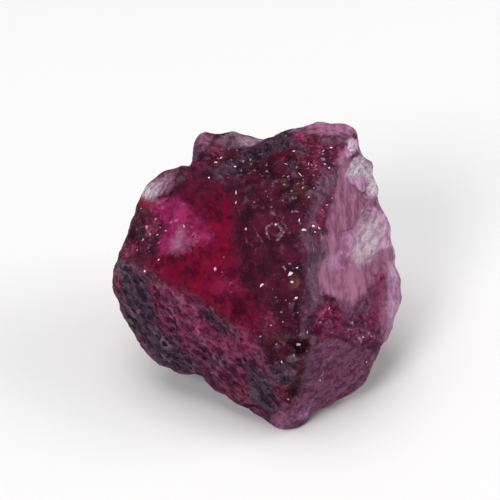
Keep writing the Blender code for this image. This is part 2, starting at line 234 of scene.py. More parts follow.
PATCHES: dict[Layer, list[Patch]] = {
    Layer.WINDOW: [
        Patch(1.5, 1, (
            -10.9, 7, -9.7, 7.6, -8.3, 7.9, -7.5, 9, -6.5, 9.6, -3.9, 9.8, -2.9, 9.2, -2.1, 8.2, -1.7, 7,
            -1.1, 0, -0.7, -1.2, 1.3, -3, 2.1, -4.2, 1.7, -5.4, 0.3, -6, -1.1, -5.7, -3.5, -4.2, -5.9, -2.2,
            -8.3, -1, -10.5, 0.6, -10.9, 1.4, -9.5, 3, -8.9, 4.2, -8.9, 5.4,
        )),
        Patch(0.3, 1, (-12, 7.1, -11.8, 7.9, -11.2, 8.2, -10.9, 7.6, -11.3, 7)),
    ],
    # painted glow in the window
    Layer.EMBER_GLOW: [
        Patch(1, 0.6, (-6.7, 0, -4.9, 0.2, -4.1, -1.6, -5.3, -2.4, -6.7, -1.6)),
        Patch(1.4, 0.5, (-4.5, 2.2, -3.3, 4.8, -2.5, 4.8, -1.9, 1.2, -2.5, 0.4, -4.3, 1.4)),
        Patch(1.2, 0.35, (-8.9, 1.4, -7.9, 2.3, -6.3, 2.4, -4.7, 2, -4.3, 1, -5.7, 0.6, -7.5, 0.8)),
        Patch(0.4, 1, (
            -12, 7.2, -11.8, 7.9, -11.3, 8, -10.7, 7.6, -9.9, 7.7, -9.5, 7.2, -10.5, 6.7, -11.5, 6.8,
        )),
        Patch(1, 0.3, (-4.9, 5.8, -3.7, 6.2, -2.9, 5.4, -3.7, 4, -4.9, 4.6)),
    ],
    Layer.MAGENTA: [
        Patch(1.2, 0.9, (-10, 7.3, -7.5, 7.7, -6.5, 5.6, -7.5, 2.4, -9.5, 2.4, -10.1, 5)),
        Patch(0.8, 0.5, (-11, 7.3, -8.1, 7.8, -7.8, 7, -8.9, 5.2, -9.7, 5.7)),
        Patch(1.2, 0.95, (
            -8.9, 4.6, -8.5, 5.8, -7.5, 6.9, -6.6, 6.6, -4.4, 4.4, -4.2, 3.5, -5.1, 3.1, -6.3, 3.3, -8.7, 3,
            -9.3, 3.6,
        )),
        Patch(0.8, 0.9, (12.1, 0.8, 12.9, 1, 13.1, -4.6, 11.9, -5, 11.5, -3.6)),
        Patch(1.6, 0.35, (-4.1, 0, -2.7, 0.4, -1.2, 0, -1, -1.4, -2.1, -2.4, -3.5, -2.1, -4.3, -1.2)),
    ],
    Layer.CRUMBLE: [
        Patch(1.5, 1, (
            -6.5, 11.6, -5.9, 12.3, -4.9, 12.5, -4.1, 13, -1.5, 12.9, 0.9, 13.6, 2.3, 14.3, 5.1, 14.9,
            8.7, 14.2, 9.1, 13.4, 7.9, 11, 6.7, 9.6, 4.9, 6.4, 4.5, 4.4, 4.8, -0.4, 4.5, -5, 5.5, -7.2,
            3.1, -12.6, 2.3, -12.2, 0.1, -7.6, 0.7, -6.2, 1.9, -5.2, 1.9, -3.6, 1.1, -2.4, -0.9, -0.8,
            -1, 3.2, -2, 8.4, -2.9, 9.4, -4.1, 10, -6.9, 10, -7.3, 10.8,
        )),
        Patch(0.6, 1, (
            -11.8, 7.1, -10.9, 7, -10.4, 6.2, -8.9, 5.2, -9.1, 4.3, -10.1, 2.3, -10.9, 1.4, -13.9, 1.2,
            -13.8, 2.4, -13.4, 3.5, -12.7, 4.4,
        )),
    ],
    Layer.PLUM: [
        Patch(1.4, 0.55, (-7.9, 9.6, -6.5, 10.2, -4.3, 10, -2.7, 9, -3.3, 7.6, -5.5, 7.2, -7.1, 7.4)),
        Patch(1.2, 0.9, (
            -1.2, 6.8, 0.1, 7.6, 3.5, 6.2, 4.4, 5, 4.5, -0.8, 4.1, -2.4, 2.9, -3, 1.5, -2.6, -0.9, -0.8,
            -1.5, 5,
        )),
        Patch(1.6, 0.5, (-2.3, 8, -0.9, 7.6, -0.1, -1, -1.1, -0.8, -1.9, 1.4)),
        Patch(0.9, 0.7, (0.7, -3.6, 2.3, -3, 3.7, -3.6, 3.9, -5, 3.1, -6.4, 1.5, -7.2, 0.1, -7)),
        Patch(0.7, 0.6, (-0.5, 9.2, 1.3, 9.4, 2.5, 8.6, 2.1, 7.4, 0.7, 7.4, -0.3, 8)),
    ],
    Layer.MAUVE: [
        Patch(0.6, 1, (
            -14.3, 0.8, -13.1, 1.8, -11.7, 1.4, -8.3, -1.1, -5.7, -2.3, -3.3, -4.3, 0.3, -6.4, 1.1, -9,
            2.7, -12, 3.5, -12.8, 2.9, -13.8, 0.7, -14.2, -1.9, -12.6, -5.1, -10.1, -6.9, -10, -8.7, -9.4,
            -10.5, -8, -11.9, -6.4, -13.3, -4.2, -14.1, -1.4,
        )),
        Patch(0.5, 0.45, (-7.1, 11.2, -5.9, 12.1, -4.7, 11.8, -4.4, 10.6, -5.1, 9.9, -6.5, 10, -7.5, 10.4)),
        Patch(0.6, 0.7, (6.1, 11.4, 7.5, 11.8, 8.6, 11.8, 8.3, 10.6, 7.1, 9.2, 6.1, 9.6)),
    ],
    Layer.SLATE: [
        Patch(0.8, 1, (
            -13.5, 1.4, -12.3, 1.4, -11.3, 0, -9.7, -3.4, -9.9, -4.6, -8.7, -6.2, -6.5, -8.2, -6.9, -9.4,
            -8.3, -9.5, -9.9, -8.6, -12.7, -5, -13.7, -2.4,
        )),
        Patch(0.3, 0.9, (-5.5, -3.2, -4.8, -3, -4.3, -4, -4.6, -5.1, -5.2, -4.4)),
        Patch(0.4, 0.7, (-4.1, -4.4, -3.1, -4.2, -2.6, -5.4, -3.3, -6, -4, -5.4)),
        Patch(0.5, 0.7, (-7.3, -8.6, -5.9, -8.4, -4.9, -9.4, -5.7, -10.2, -7.1, -10)),
        Patch(0.5, 0.3, (-6.9, -6.2, -5.7, -6.8, -4.9, -8.2, -5.7, -8.6, -6.7, -7.4)),
        Patch(0.5, 0.5, (-4.9, -7.6, -3.3, -8, -2.7, -9, -3.9, -9.2, -5.1, -8.6)),
        Patch(0.6, 1, (-0.9, -9.4, 0.1, -9.2, 2.1, -11.6, 2.3, -13.2, 1.7, -14.4, 0.9, -14.2, -0.7, -11.2)),
        Patch(0.7, 0.8, (1.1, -9.2, 2.9, -8.8, 4.1, -9, 3.9, -10.6, 2.5, -11.2, 1.5, -10.4)),
        Patch(0.6, 0.95, (
            -0.9, 12.8, 2.1, 14.3, 3.5, 14.7, 4, 14, 4.1, 12.9, 1.5, 12.3, -0.3, 11.3, -0.9, 11.8,
        )),
        Patch(0.6, 0.5, (-4.9, 11, -1.3, 11.7, -0.7, 11, -0.8, 9.6, -4.5, 10)),
        Patch(0.5, 0.6, (4.1, 14, 5.3, 14.4, 5.7, 13.6, 5.4, 12.4, 4.5, 11.8, 3.9, 12.6)),
        Patch(0.6, 0.55, (2.9, 11.4, 3.9, 11.6, 4.3, 10.6, 3.3, 10.2)),
    ],
    Layer.FLUSH: [
        Patch(0.5, 0.6, (-10.8, 5.9, -9.7, 5.8, -9.5, 4.4, -10.7, 4.4)),
        Patch(0.8, 0.7, (
            -7.7, -3, -6.9, -2.4, -5.5, -3, -5.3, -4.2, -4.3, -5.4, -3.3, -6.2, -0.5, -6.8, -0.9, -7.6,
            -4.5, -7, -5.9, -6.2, -7.1, -5,
        )),
        Patch(0.5, 0.5, (-9.5, -0.2, -6.9, -1.8, -6.5, -2.6, -7.7, -2.6, -8.9, -1.8, -9.9, -0.8)),
        Patch(0.5, 0.6, (-1.9, -5.2, 0.1, -6, 0.7, -7, -0.5, -7.2, -1.9, -6.6)),
        Patch(0.7, 0.3, (12.3, 1.2, 12.9, 1.4, 13.1, -2.4, 13, -4.8, 12.1, -5.2, 11.3, -4.8, 11.3, -3.2)),
        Patch(0.6, 0.75, (7.8, 8.8, 8.3, 8.9, 6.8, 5, 6, 4.7, 5.7, 5.6)),
        Patch(0.7, 0.7, (5.3, 13.4, 6.7, 13.7, 8.7, 13.3, 8.9, 12.6, 8.1, 11.8, 6.7, 12, 5.5, 12.4)),
        Patch(0.5, 0.8, (3.7, 14.2, 4.9, 14.3, 5.5, 13.7, 5.1, 13.1, 3.9, 13.2)),
        Patch(0.4, 0.15, (5.3, 14.9, 6.9, 14.8, 8.3, 14.5, 7.9, 14.1, 6.3, 14.2, 5.1, 14.4)),
        Patch(0.6, 0.5, (4.5, 11.8, 6.1, 11.8, 6.3, 10.4, 5.1, 10)),
        Patch(0.9, 0.7, (5.7, -3.4, 6.9, -2.6, 8.3, -2.7, 8.6, -4.2, 8.3, -5.6, 6.7, -6, 5.6, -5.4)),
        Patch(0.6, 0.6, (7.1, -3.1, 8.1, -2.7, 8.6, -3.6, 8.4, -4.5, 7.4, -4.4)),
        Patch(0.6, 0.6, (-4.9, 13, -4.1, 13.4, -3.2, 13.3, -2.8, 12.6, -3.4, 12, -4.4, 12.1)),
        Patch(0.4, 0.5, (-6.5, 11.6, -5.5, 11.4, -5, 10.6, -5.9, 10.4)),
        Patch(0.8, 0.25, (-9.8, 4.4, -8.9, 4.6, -8.5, 3.6, -8.5, 2.6, -9.3, 2.4, -9.9, 3.2)),
        Patch(0.6, 0.5, (-13.5, 2.8, -12.7, 3.8, -11.7, 3.6, -11.5, 2.6, -12.5, 1.8, -13.5, 1.8)),
        Patch(0.7, 0.3, (-0.3, 7, 2.7, 6, 2.7, 5.4, 1.1, 5.6, 0.1, 6.2)),
        Patch(0.7, 0.35, (0.1, -2.4, 1.7, -3.6, 2.9, -5, 2.1, -6.6, 0.7, -6, 0.1, -4.2)),
        Patch(0.5, 0.5, (2.1, -10.8, 3.1, -11, 3.3, -12.2, 2.3, -12.4)),
        Patch(0.9, 0.3, (6.5, -9.2, 8.1, -8.8, 9.7, -9.8, 9.5, -10.8, 7.7, -10.8)),
    ],
    Layer.RIDGE: [
        Patch(0.8, 0.9, (
            6.7, 9.6, 9, 12.2, 9.3, 11.4, 8, 8.6, 6.1, 6.5, 5.6, 5.2, 5.8, 4, 6.7, 3.6, 7.1, 2, 6.8, -2,
            5.8, -2.7, 5.3, -4.2, 5.2, -5.6, 4.9, -5.4, 4.8, -3.6, 5.1, -1.4, 5, 3.6, 5.4, 6.2,
        )),
        Patch(0.5, 0.8, (5.2, -7.6, 5.9, -6.6, 6.4, -7.4, 6.1, -9, 4.6, -12, 3.8, -12.6, 4.9, -9.3)),
        Patch(0.35, 0.95, (-4.1, 13.6, -2.1, 14.3, 0.9, 13.6, 0.1, 13, -1.5, 12.7, -2.9, 12.8)),
        Patch(0.4, 1, (6.3, 13.9, 7.9, 14, 9, 13.8, 8.9, 13.3, 7.5, 13.2, 6.3, 13.4)),
    ],
    Layer.ROSE: [
        Patch(0.5, 0.9, (8.4, 11.6, 8.6, 12.7, 9.3, 12.9, 9.7, 11.2, 9.2, 10.2, 8.4, 9.8)),
        Patch(0.7, 0.4, (11.9, 0.8, 13.1, 1.2, 13.3, -2.4, 13.1, -6.6, 12.3, -6.4, 11.7, -2.4)),
        Patch(0.5, 0.4, (-7.1, -3.6, -5.7, -3.6, -5.5, -5.4, -6.7, -5.6)),
        Patch(0.8, 1, (
            8.9, 10.8, 10.1, 8.6, 13.1, 6.2, 13.7, 4.4, 14.8, -0.8, 14.9, -2.6, 13.9, -5.6, 12.9, -6.8,
            12.3, -6.2, 13.1, -4.4, 13.3, -2.4, 13.2, -0.4, 12.5, 1.2, 11.7, 0, 11.3, -1.6, 10.3, -2.8,
            9.1, -3.6, 8.5, -2.6, 7.7, -1.9, 6.7, -1.8, 7, 5.4, 8.3, 9.6,
        )),
        Patch(0.45, 1, (
            5.7, 15.3, 6.5, 15.6, 8.1, 15.6, 9.7, 15.2, 10.3, 14.4, 9.5, 14, 6.5, 14.2, 5.6, 14.5,
        )),
        Patch(0.5, 0.6, (3.1, 14.5, 4.5, 15.2, 5.9, 15.5, 5.9, 14.4, 3.7, 14.2)),
        Patch(0.3, 1, (10.2, 14.4, 11, 13.4, 11.9, 11.8, 12.3, 10.6, 10.5, 12.4)),
        Patch(0.4, 0.9, (11.1, 7.8, 12.3, 8, 13.1, 6.6, 12.3, 6.4, 11.3, 6.8)),
        Patch(0.8, 0.6, (6.3, 1.4, 7.3, 1.4, 7.5, -1.6, 6.5, -1.4)),
        Patch(0.4, 0.5, (-6.1, 12.4, -5.8, 13.8, -5.2, 14.3, -4.1, 14.2, -3.9, 13.7, -5.1, 12.4)),
        Patch(0.5, 0.6, (-10.9, 9, -9.9, 9.9, -8.7, 10.5, -7.9, 10.7, -7.7, 10.4, -8.3, 8.6, -8.7, 8.1)),
        Patch(1, 0.6, (-7.9, 5, -7.1, 5.4, -6.5, 4.4, -6.3, 3.1, -7.1, 2.3, -8.1, 1.9, -8.8, 2.4)),
        Patch(0.8, 0.6, (1.3, -14, 2.9, -13.2, 4.5, -13.2, 5.5, -13.8, 4.7, -15.2, 2.9, -15.7, 1.7, -15.2)),
        Patch(0.6, 0.38, (-14.4, 0.2, -13.8, 1, -13.3, 0.2, -13.4, -1, -14, -1.2, -14.4, -0.4)),
    ],
    Layer.LEDGE: [
        Patch(0.8, 1, (
            5.6, -5, 6.7, -4.2, 8.1, -4.6, 11.1, -3, 11.7, -4.2, 12.9, -5.2, 12.2, -7.4, 10.7, -7.2,
            7.9, -5.8, 5.8, -6.6,
        )),
    ],
    Layer.CHEEK: [
        Patch(0.8, 0.75, (
            8.3, -2.2, 9.7, -2.6, 11.1, -1.4, 11.9, -2, 11.7, -3.4, 10.1, -4.4, 8.7, -4.4, 8.1, -3.4,
        )),
        Patch(0.5, 1, (
            5.9, -7.2, 7.1, -6.2, 8.3, -6, 10.1, -7.1, 12.4, -7.4, 12.3, -9, 11.3, -10.6, 9.9, -12,
            8.5, -12.8, 6.7, -13.4, 4.5, -15.2, 3.1, -15.6, 2.9, -14.4, 3.5, -12.8, 4.5, -11.6, 5.9, -8.6,
        )),
    ],
    Layer.VEIL: [
        Patch(0.6, 0.4, (7, 2, 8.5, 2.4, 8.8, 0.8, 7.3, 0.4)),
        Patch(0.6, 0.3, (2.9, -13.4, 4.5, -13.2, 4.9, -14.4, 3.9, -15.2, 2.7, -14.8)),
        Patch(0.6, 0.4, (4.6, -12.3, 6.1, -11.9, 6.3, -13.2, 5.3, -14.2, 4.6, -13.8)),
        Patch(0.6, 0.3, (8.2, -2.6, 9.7, -2.6, 9.9, -4, 8.5, -4.2)),
        Patch(0.4, 0.85, (10.7, 6.6, 11.3, 7.1, 12.3, 6.9, 12.5, 6, 11.7, 5.4, 10.9, 5.6)),
        Patch(0.7, 0.25, (-7.3, -3.4, -5.9, -3.6, -4.3, -7.4, -5.7, -8)),
        Patch(0.8, 0.7, (8.7, 3.6, 9.7, 4.7, 10.7, 4.4, 10.3, 2.8, 9.5, 1.6, 8.7, 2.2)),
        Patch(0.25, 1, (9, 10.3, 9.4, 11.2, 10.1, 11.7, 10.6, 10.8, 11, 8.6, 10.5, 8.4, 9.7, 9.2)),
        Patch(0.3, 0.85, (9, 13.6, 9.7, 14, 10.3, 13.6, 10.4, 12.7, 9.8, 12, 9.2, 11.7, 8.9, 12.3)),
        Patch(0.7, 0.7, (13.3, 1.4, 14.1, 1.4, 14.9, -2.4, 14.3, -4.2, 13.5, -5.4, 13.2, -3.6)),
        Patch(0.5, 0.9, (12.1, 6.4, 13.1, 6.2, 13.6, 4.6, 13.7, 3, 12.7, 2.5, 11.9, 2.8, 12.7, 4.2)),
        Patch(0.9, 0.2, (6.9, 1.4, 7.9, 1.4, 8.5, 0, 8.5, -1.4, 7.5, -1.8, 7, -0.8)),
    ],
    Layer.PEARL: [
        Patch(0.4, 0.45, (-1.9, 14, -0.3, 13.9, 0.9, 13.6, -0.1, 12.9, -1.5, 12.9)),
        Patch(0.25, 1, (
            10.2, 11.6, 10.6, 12.3, 11.9, 11, 12.4, 9.8, 12.4, 8.2, 11.7, 7.7, 11.1, 8.2, 11, 9.2,
        )),
        Patch(0.8, 0.95, (
            9.6, 3.2, 10, 4.6, 10.8, 6, 11.7, 6.5, 12.8, 6.2, 13.2, 4.8, 12.9, 3.6, 11.3, 1.4, 10.2, 0.9,
            9.6, 1.8,
        )),
        Patch(0.3, 0.8, (13.6, 3, 14.3, 2.8, 14.4, 1.4, 13.8, 1)),
        Patch(0.4, 0.8, (
            -11.3, 8.4, -10.9, 9, -9.9, 9.6, -8.9, 9.9, -8.5, 9.6, -9.5, 8.2, -9.9, 7.9, -10.6, 7.7,
            -11.1, 7.9,
        )),
        Patch(0.3, 0.35, (13.1, 1.2, 13.6, 1.2, 13.7, -1, 13.2, -1.2)),
    ],
    Layer.FROST: [
        Patch(0.4, 0.8, (
            -11.2, 8.4, -11.1, 8.9, -10.5, 9.2, -9.7, 9.1, -9.6, 8.8, -9.9, 8.4, -10.5, 8.1, -11, 8.1,
        )),
        Patch(0.4, 0.9, (10.7, 11.3, 11.3, 11.1, 12.1, 10, 12.5, 8.6, 11.5, 8, 10.9, 9.6)),
        Patch(0.3, 0.85, (9.2, 10.2, 9.5, 11.2, 10.1, 11.8, 10.8, 11.6, 10.7, 10.4, 9.9, 9.6)),
        Patch(0.3, 0.8, (9.2, 13.6, 9.8, 13.8, 10, 12.8, 9.4, 12.2, 9.1, 12.8)),
        Patch(0.4, 0.35, (9.9, 2.6, 10.5, 4, 11.3, 5.2, 11.9, 5.2, 11.5, 3.6, 10.7, 2)),
    ],
    Layer.CLEAR: [
        Patch(0.5, 0.8, (9.1, 10.4, 10.3, 12, 11.1, 12, 12.5, 9.8, 12.5, 7.8, 11.1, 8, 9.7, 9)),
        Patch(0.5, 0.7, (-11.5, 7.8, -10.7, 9.2, -9.1, 10.2, -7.9, 10.4, -8.5, 8.8, -9.7, 7.6, -10.7, 7.2)),
        Patch(0.6, 0.5, (13.3, 1.4, 14.3, 1.4, 15.1, -1.2, 14.7, -4, 13.7, -6.2, 13.3, -5.2)),
    ],
    Layer.RUST: [
        Patch(0.5, 0.4, (2.1, 10, 2.9, 10.2, 3.3, 9.2, 2.9, 8.2, 2.2, 8.6)),
        Patch(0.6, 0.6, (3.9, 9.4, 5.1, 9.6, 5.7, 8.6, 5.1, 7.6, 4.1, 7.8)),
        Patch(0.3, 0.9, (3.3, 0.2, 4.1, 0.4, 4.6, -0.6, 4.2, -1.4, 3.5, -0.8)),
        Patch(0.5, 0.3, (-11.8, 7, -10.9, 6.8, -10.7, 5.8, -11.3, 5.2, -12.1, 5.6)),
        Patch(0.6, 0.6, (1.1, -5.2, 2.5, -5, 3.5, -5.8, 2.9, -7, 1.3, -6.8)),
        Patch(0.4, 0.2, (0.9, 5, 1.7, 5.5, 2.5, 5.3, 2.8, 4.4, 2.2, 3.7, 1.3, 3.9)),
    ],
    # painted shade: the pit, the crest's shadowed hollows, and a deeper tone at the window's edge
    Layer.SHADE: [
        Patch(0.7, 0.45, (-0.9, 12.8, 2.9, 14, 4.1, 13.6, 3.5, 12.6, 1.5, 12.2, 0.1, 11.4)),
        Patch(0.5, 0.35, (6.1, 3.5, 7.3, 3.5, 7.4, 1.8, 6.3, 1.6)),
        Patch(0.6, 0.3, (4.7, 7.2, 6.1, 7.4, 6.1, 4, 4.8, 3.6)),
        Patch(0.5, 0.2, (3.3, -5.8, 4.3, -5.3, 5.5, -5.8, 5.8, -6.6, 5.1, -7.6, 3.9, -7.6, 3.1, -6.8)),
        Patch(0.15, 1, (-5.8, 2.9, -5.5, 3.1, -5.2, 2.8, -5.4, 2.5, -5.7, 2.6)),
        Patch(0.3, 0.8, (-5.2, -3.6, -4.8, -3.6, -4.5, -4.6, -4.9, -4.8)),
        Patch(0.3, 0.6, (-4.3, -3.4, -3.8, -3.5, -3.9, -4.3, -4.3, -4.1)),
        Patch(0.4, 0.5, (-12.1, 4.6, -11.1, 4.9, -10.3, 4.2, -10.7, 3, -11.5, 2.8, -12.1, 3.6)),
        Patch(0.3, 0.2, (-9.9, 5.2, -8.9, 5.3, -8.9, 4.7, -9.7, 4.4)),
        Patch(0.3, 0.6, (-10.5, 3, -9.3, 2.9, -9.5, 2.2, -10.5, 2)),
        Patch(0.6, 0.35, (-0.3, -10, 0.7, -10.2, 1.7, -12, 1.7, -13.4, 0.7, -13)),
        Patch(0.5, 0.6, (-0.3, 12.8, 0.7, 12.8, 0.9, 11.6, 0.1, 11.2, -0.5, 11.8)),
        Patch(0.4, 0.8, (-0.9, 7, 0.1, 7.2, 0.2, 6.2, -0.6, 5.8)),
        Patch(0.4, 0.6, (3.5, -1.6, 4.6, -1.6, 4.6, -4, 3.7, -4.6)),
        Patch(0.9, 0.4, (-1.7, 6.4, -0.5, 6.4, 0.1, 3.8, 0.1, 0.8, 0.7, -1.4, -0.3, -2, -1, -0.8)),
        Patch(0.8, 0.4, (-1.9, -2.2, 0.1, -2, 1.5, -3.4, 0.9, -4.6, -0.9, -4.2, -2.1, -3.2)),
        Patch(0.4, 0.6, (3.3, 4.4, 4.5, 4.3, 4.5, 3.2, 3.5, 3.2)),
        Patch(0.5, 0.7, (2.9, -7.4, 4.5, -7.6, 4.1, -9, 2.9, -8.6)),
        Patch(0.5, 0.4, (-11.5, -3, -10.3, -2.4, -9.7, -3.6, -10.5, -4.6, -11.5, -4.2)),
        Patch(0.7, 0.3, (-0.3, 3.2, 1.7, 3, 3.5, 2, 4.1, 0.4, 2.5, -0.6, 0.7, 0.4)),
    ],
    Layer.CREASE: [
        Line(0.09, 0.7, (-10.9, 8.4, -10.4, 9)),
        Line(0.1, 0.6, (4.5, 14.5, 6.3, 14.8, 8.1, 14.5, 9.3, 14.1)),
        Line(0.09, 0.5, (6.5, 14, 7.9, 14.2, 9.1, 13.7)),
        Line(0.1, 0.5, (-5.1, 13.8, -4.1, 13.3, -2.7, 12.9, -1.3, 12.8)),
        Line(0.35, 0.8, (-7.3, -9.9, -6.3, -9.5, -4.9, -9.8, -3.9, -10.8)),
        Line(0.11, 0.7, (-9.1, 4.7, -8.5, 5.9, -7.8, 7.9)),
        Line(0.11, 0.6, (-7.9, 8, -7.9, 9, -7.6, 9.8, -6.8, 10.4)),
        Line(0.11, 0.6, (-10.7, 0.4, -9.9, -0.8, -8.9, -1.7)),
        Line(0.08, 0.3, (10.2, 14.8, 10.4, 12.9)),
        Line(0.09, 0.35, (10.4, 12.9, 9.7, 11.7, 9.1, 11.3, 8.7, 10.7)),
        Line(0.09, 0.45, (7.8, 4, 9.6, 4.8, 10.2, 5.7, 10.9, 6.4, 11.7, 6.7)),
        Line(0.09, 0.45, (9.8, 9.1, 11.1, 7.6, 12.1, 7.5)),
        Line(0.1, 0.4, (11.5, 1.8, 12.2, 2.5, 13.6, 2.9, 13.7, 2)),
        Line(0.08, 0.25, (11.1, 6.8, 11.9, 6.2, 12.9, 6.4)),
        Line(0.11, 0.7, (9, -6.2, 9.7, -6.9, 10.9, -7.3, 12.2, -7.4)),
        Line(0.09, 0.5, (11.9, 0, 12.5, 0.8)),
        Line(0.09, 0.5, (11.5, -1.4, 12.7, -0.1)),
        Line(0.09, 0.5, (11.6, -2.4, 12.9, -1)),
        Line(0.1, 0.4, (7.1, -10.2, 8.3, -10.9, 9.5, -10.7)),
        Line(0.1, 0.5, (-1.5, -5.4, -0.1, -6.2, 0.7, -7)),
        Line(0.1, 0.5, (-6.5, -4.2, -5.5, -5, -4.7, -6.1)),
        Line(0.1, 0.5, (-5.9, -6.6, -4.1, -8.6)),
        Line(0.1, 0.5, (-8.5, -2.4, -7.5, -3.6, -6.7, -5)),
        Line(0.1, 0.5, (-3.5, -6.4, -0.7, -8.2)),
        Line(0.1, 0.5, (10.9, 12.2, 12.2, 10.4)),
        Line(0.09, 0.8, (-9.7, 8.2, -8.9, 9.4)),
        Line(0.09, 0.8, (-9.2, 8.2, -8.4, 9.5)),
        Line(0.09, 0.7, (-10.3, 8.7, -9.7, 9.5)),
    ],
    Layer.THREAD: [
        Line(0.08, 0.5, (1.7, 6.5, 2.3, 5.7, 3, 5.2)),
        Line(0.08, 0.35, (-0.3, 5, 0.8, 3.2)),
        Line(0.1, 0.5, (1.6, 5.3, 1.1, 4.8, 1.1, 4.1, 1.4, 3.7)),
        Line(0.1, 0.55, (2.3, 5.2, 2.8, 4.6, 2.7, 3.9, 2.2, 3.6)),
        Line(0.07, 0.6, (9.5, -5.2, 11.1, -5.6)),
        Line(0.07, 0.6, (10.2, -6, 10.8, -6.7)),
        Line(0.07, 0.4, (9.1, -5.6, 9.8, -5.3)),
        Line(0.08, 0.35, (6.8, -9.4, 5.6, -12.2, 5.3, -13.4)),
        Line(0.07, 0.25, (7.6, -7.9, 6.1, -9.8)),
        Line(0.1, 0.35, (-5.7, 14, -4.9, 14.3, -3.3, 14, -2.3, 14.2, 0.7, 13.4)),
        Line(0.12, 0.4, (3.9, 14.7, 5.1, 15.1, 6.7, 15.3, 8.5, 15.2, 9.6, 14.7)),
        Line(0.08, 0.15, (-3.3, 9.3, -2.3, 8.5, -1.7, 7, -1.5, 5.2)),
        Line(0.08, 0.2, (-8.7, 2.4, -7.7, 2.1, -6.5, 2.5)),
        Line(0.08, 0.3, (6.9, 6.8, 6.5, 5.2, 6.7, 3.6)),
        Line(0.08, 0.4, (6.3, -4.2, 7.3, -3)),
        Line(0.08, 0.3, (-1, 4, -0.5, 3.3, 0, 2.9)),
    ],
}


@dataclass(frozen=True)
class HiddenSide:
    """How a finish carries on round the stone, in zones, where nothing is drawn."""

    low: float
    high: float
    strength: float = 1.0
    size: float = 7.0  # of the zones, in millimetres

    def share(self, place: Vector, apart: float) -> float:
        """How much of the finish lies at a place.

        Args:
            place: (across, up, out) in millimetres.
            apart: a number that keeps one finish's zones apart from another's.

        Returns:
            A share from 0 to the strength.
        """
        zone = noise.noise(place / self.size + SEED * apart)
        return self.strength * smooth_step(self.low, self.high, zone)


HIDDEN: dict[Layer, HiddenSide] = {
    Layer.WINDOW: HiddenSide(0.1, 0.5, 0.9),
    Layer.MAUVE: HiddenSide(-0.35, 0.15),
    Layer.SLATE: HiddenSide(-0.05, 0.35),
    Layer.CRUMBLE: HiddenSide(-0.1, 0.35),
    Layer.FLUSH: HiddenSide(0.2, 0.5, 0.6, 4.0),
    Layer.ROSE: HiddenSide(0.2, 0.6, 0.8),
    Layer.CHEEK: HiddenSide(0.0, 0.5, 0.8),
}


# ---------------------------------------------------------------- shader maths

Feed = Union["Field", float, tuple[float, ...]]


@dataclass(frozen=True)
class Field:
    """A value that varies over the surface, held as a shader socket, with Python's operators."""

    bench: "ShaderBench"
    socket: bpy.types.NodeSocket

    def maths(self, operation: str, first: Feed, second: Feed = 0.0) -> "Field":
        """A Math node on one or two values."""
        return self.bench.node("ShaderNodeMath", {"operation": operation}, {0: first, 1: second})

    def __add__(self, other: Feed) -> "Field":
        """Sum."""
        return self.maths("ADD", self, other)

    __radd__ = __add__

    def __sub__(self, other: Feed) -> "Field":
        """Difference."""
        return self.maths("SUBTRACT", self, other)

    def __rsub__(self, other: Feed) -> "Field":
        """Difference from a number."""
        return self.maths("SUBTRACT", other, self)

    def __mul__(self, other: Feed) -> "Field":
        """Product."""
        return self.maths("MULTIPLY", self, other)

    __rmul__ = __mul__

    def __abs__(self) -> "Field":
        """Size without sign."""
        return self.maths("ABSOLUTE", self)

    def larger(self, other: Feed) -> "Field":
        """The larger of two values."""
        return self.maths("MAXIMUM", self, other)

    def ramp(self, low: float, high: float) -> "Field":
        """An S-curve from 0 at low to 1 at high, level beyond them."""
        return self.bench.node(
            "ShaderNodeMapRange",
            {"interpolation_type": "SMOOTHSTEP"},
            {"Value": self, "From Min": low, "From Max": high},
        )

    def swell(self, half: float, middle: float = MIDDLE) -> "Field":
        """An S-curve from 0 to 1 that runs half to either side of a middle value."""
        return self.ramp(middle - half, middle + half)


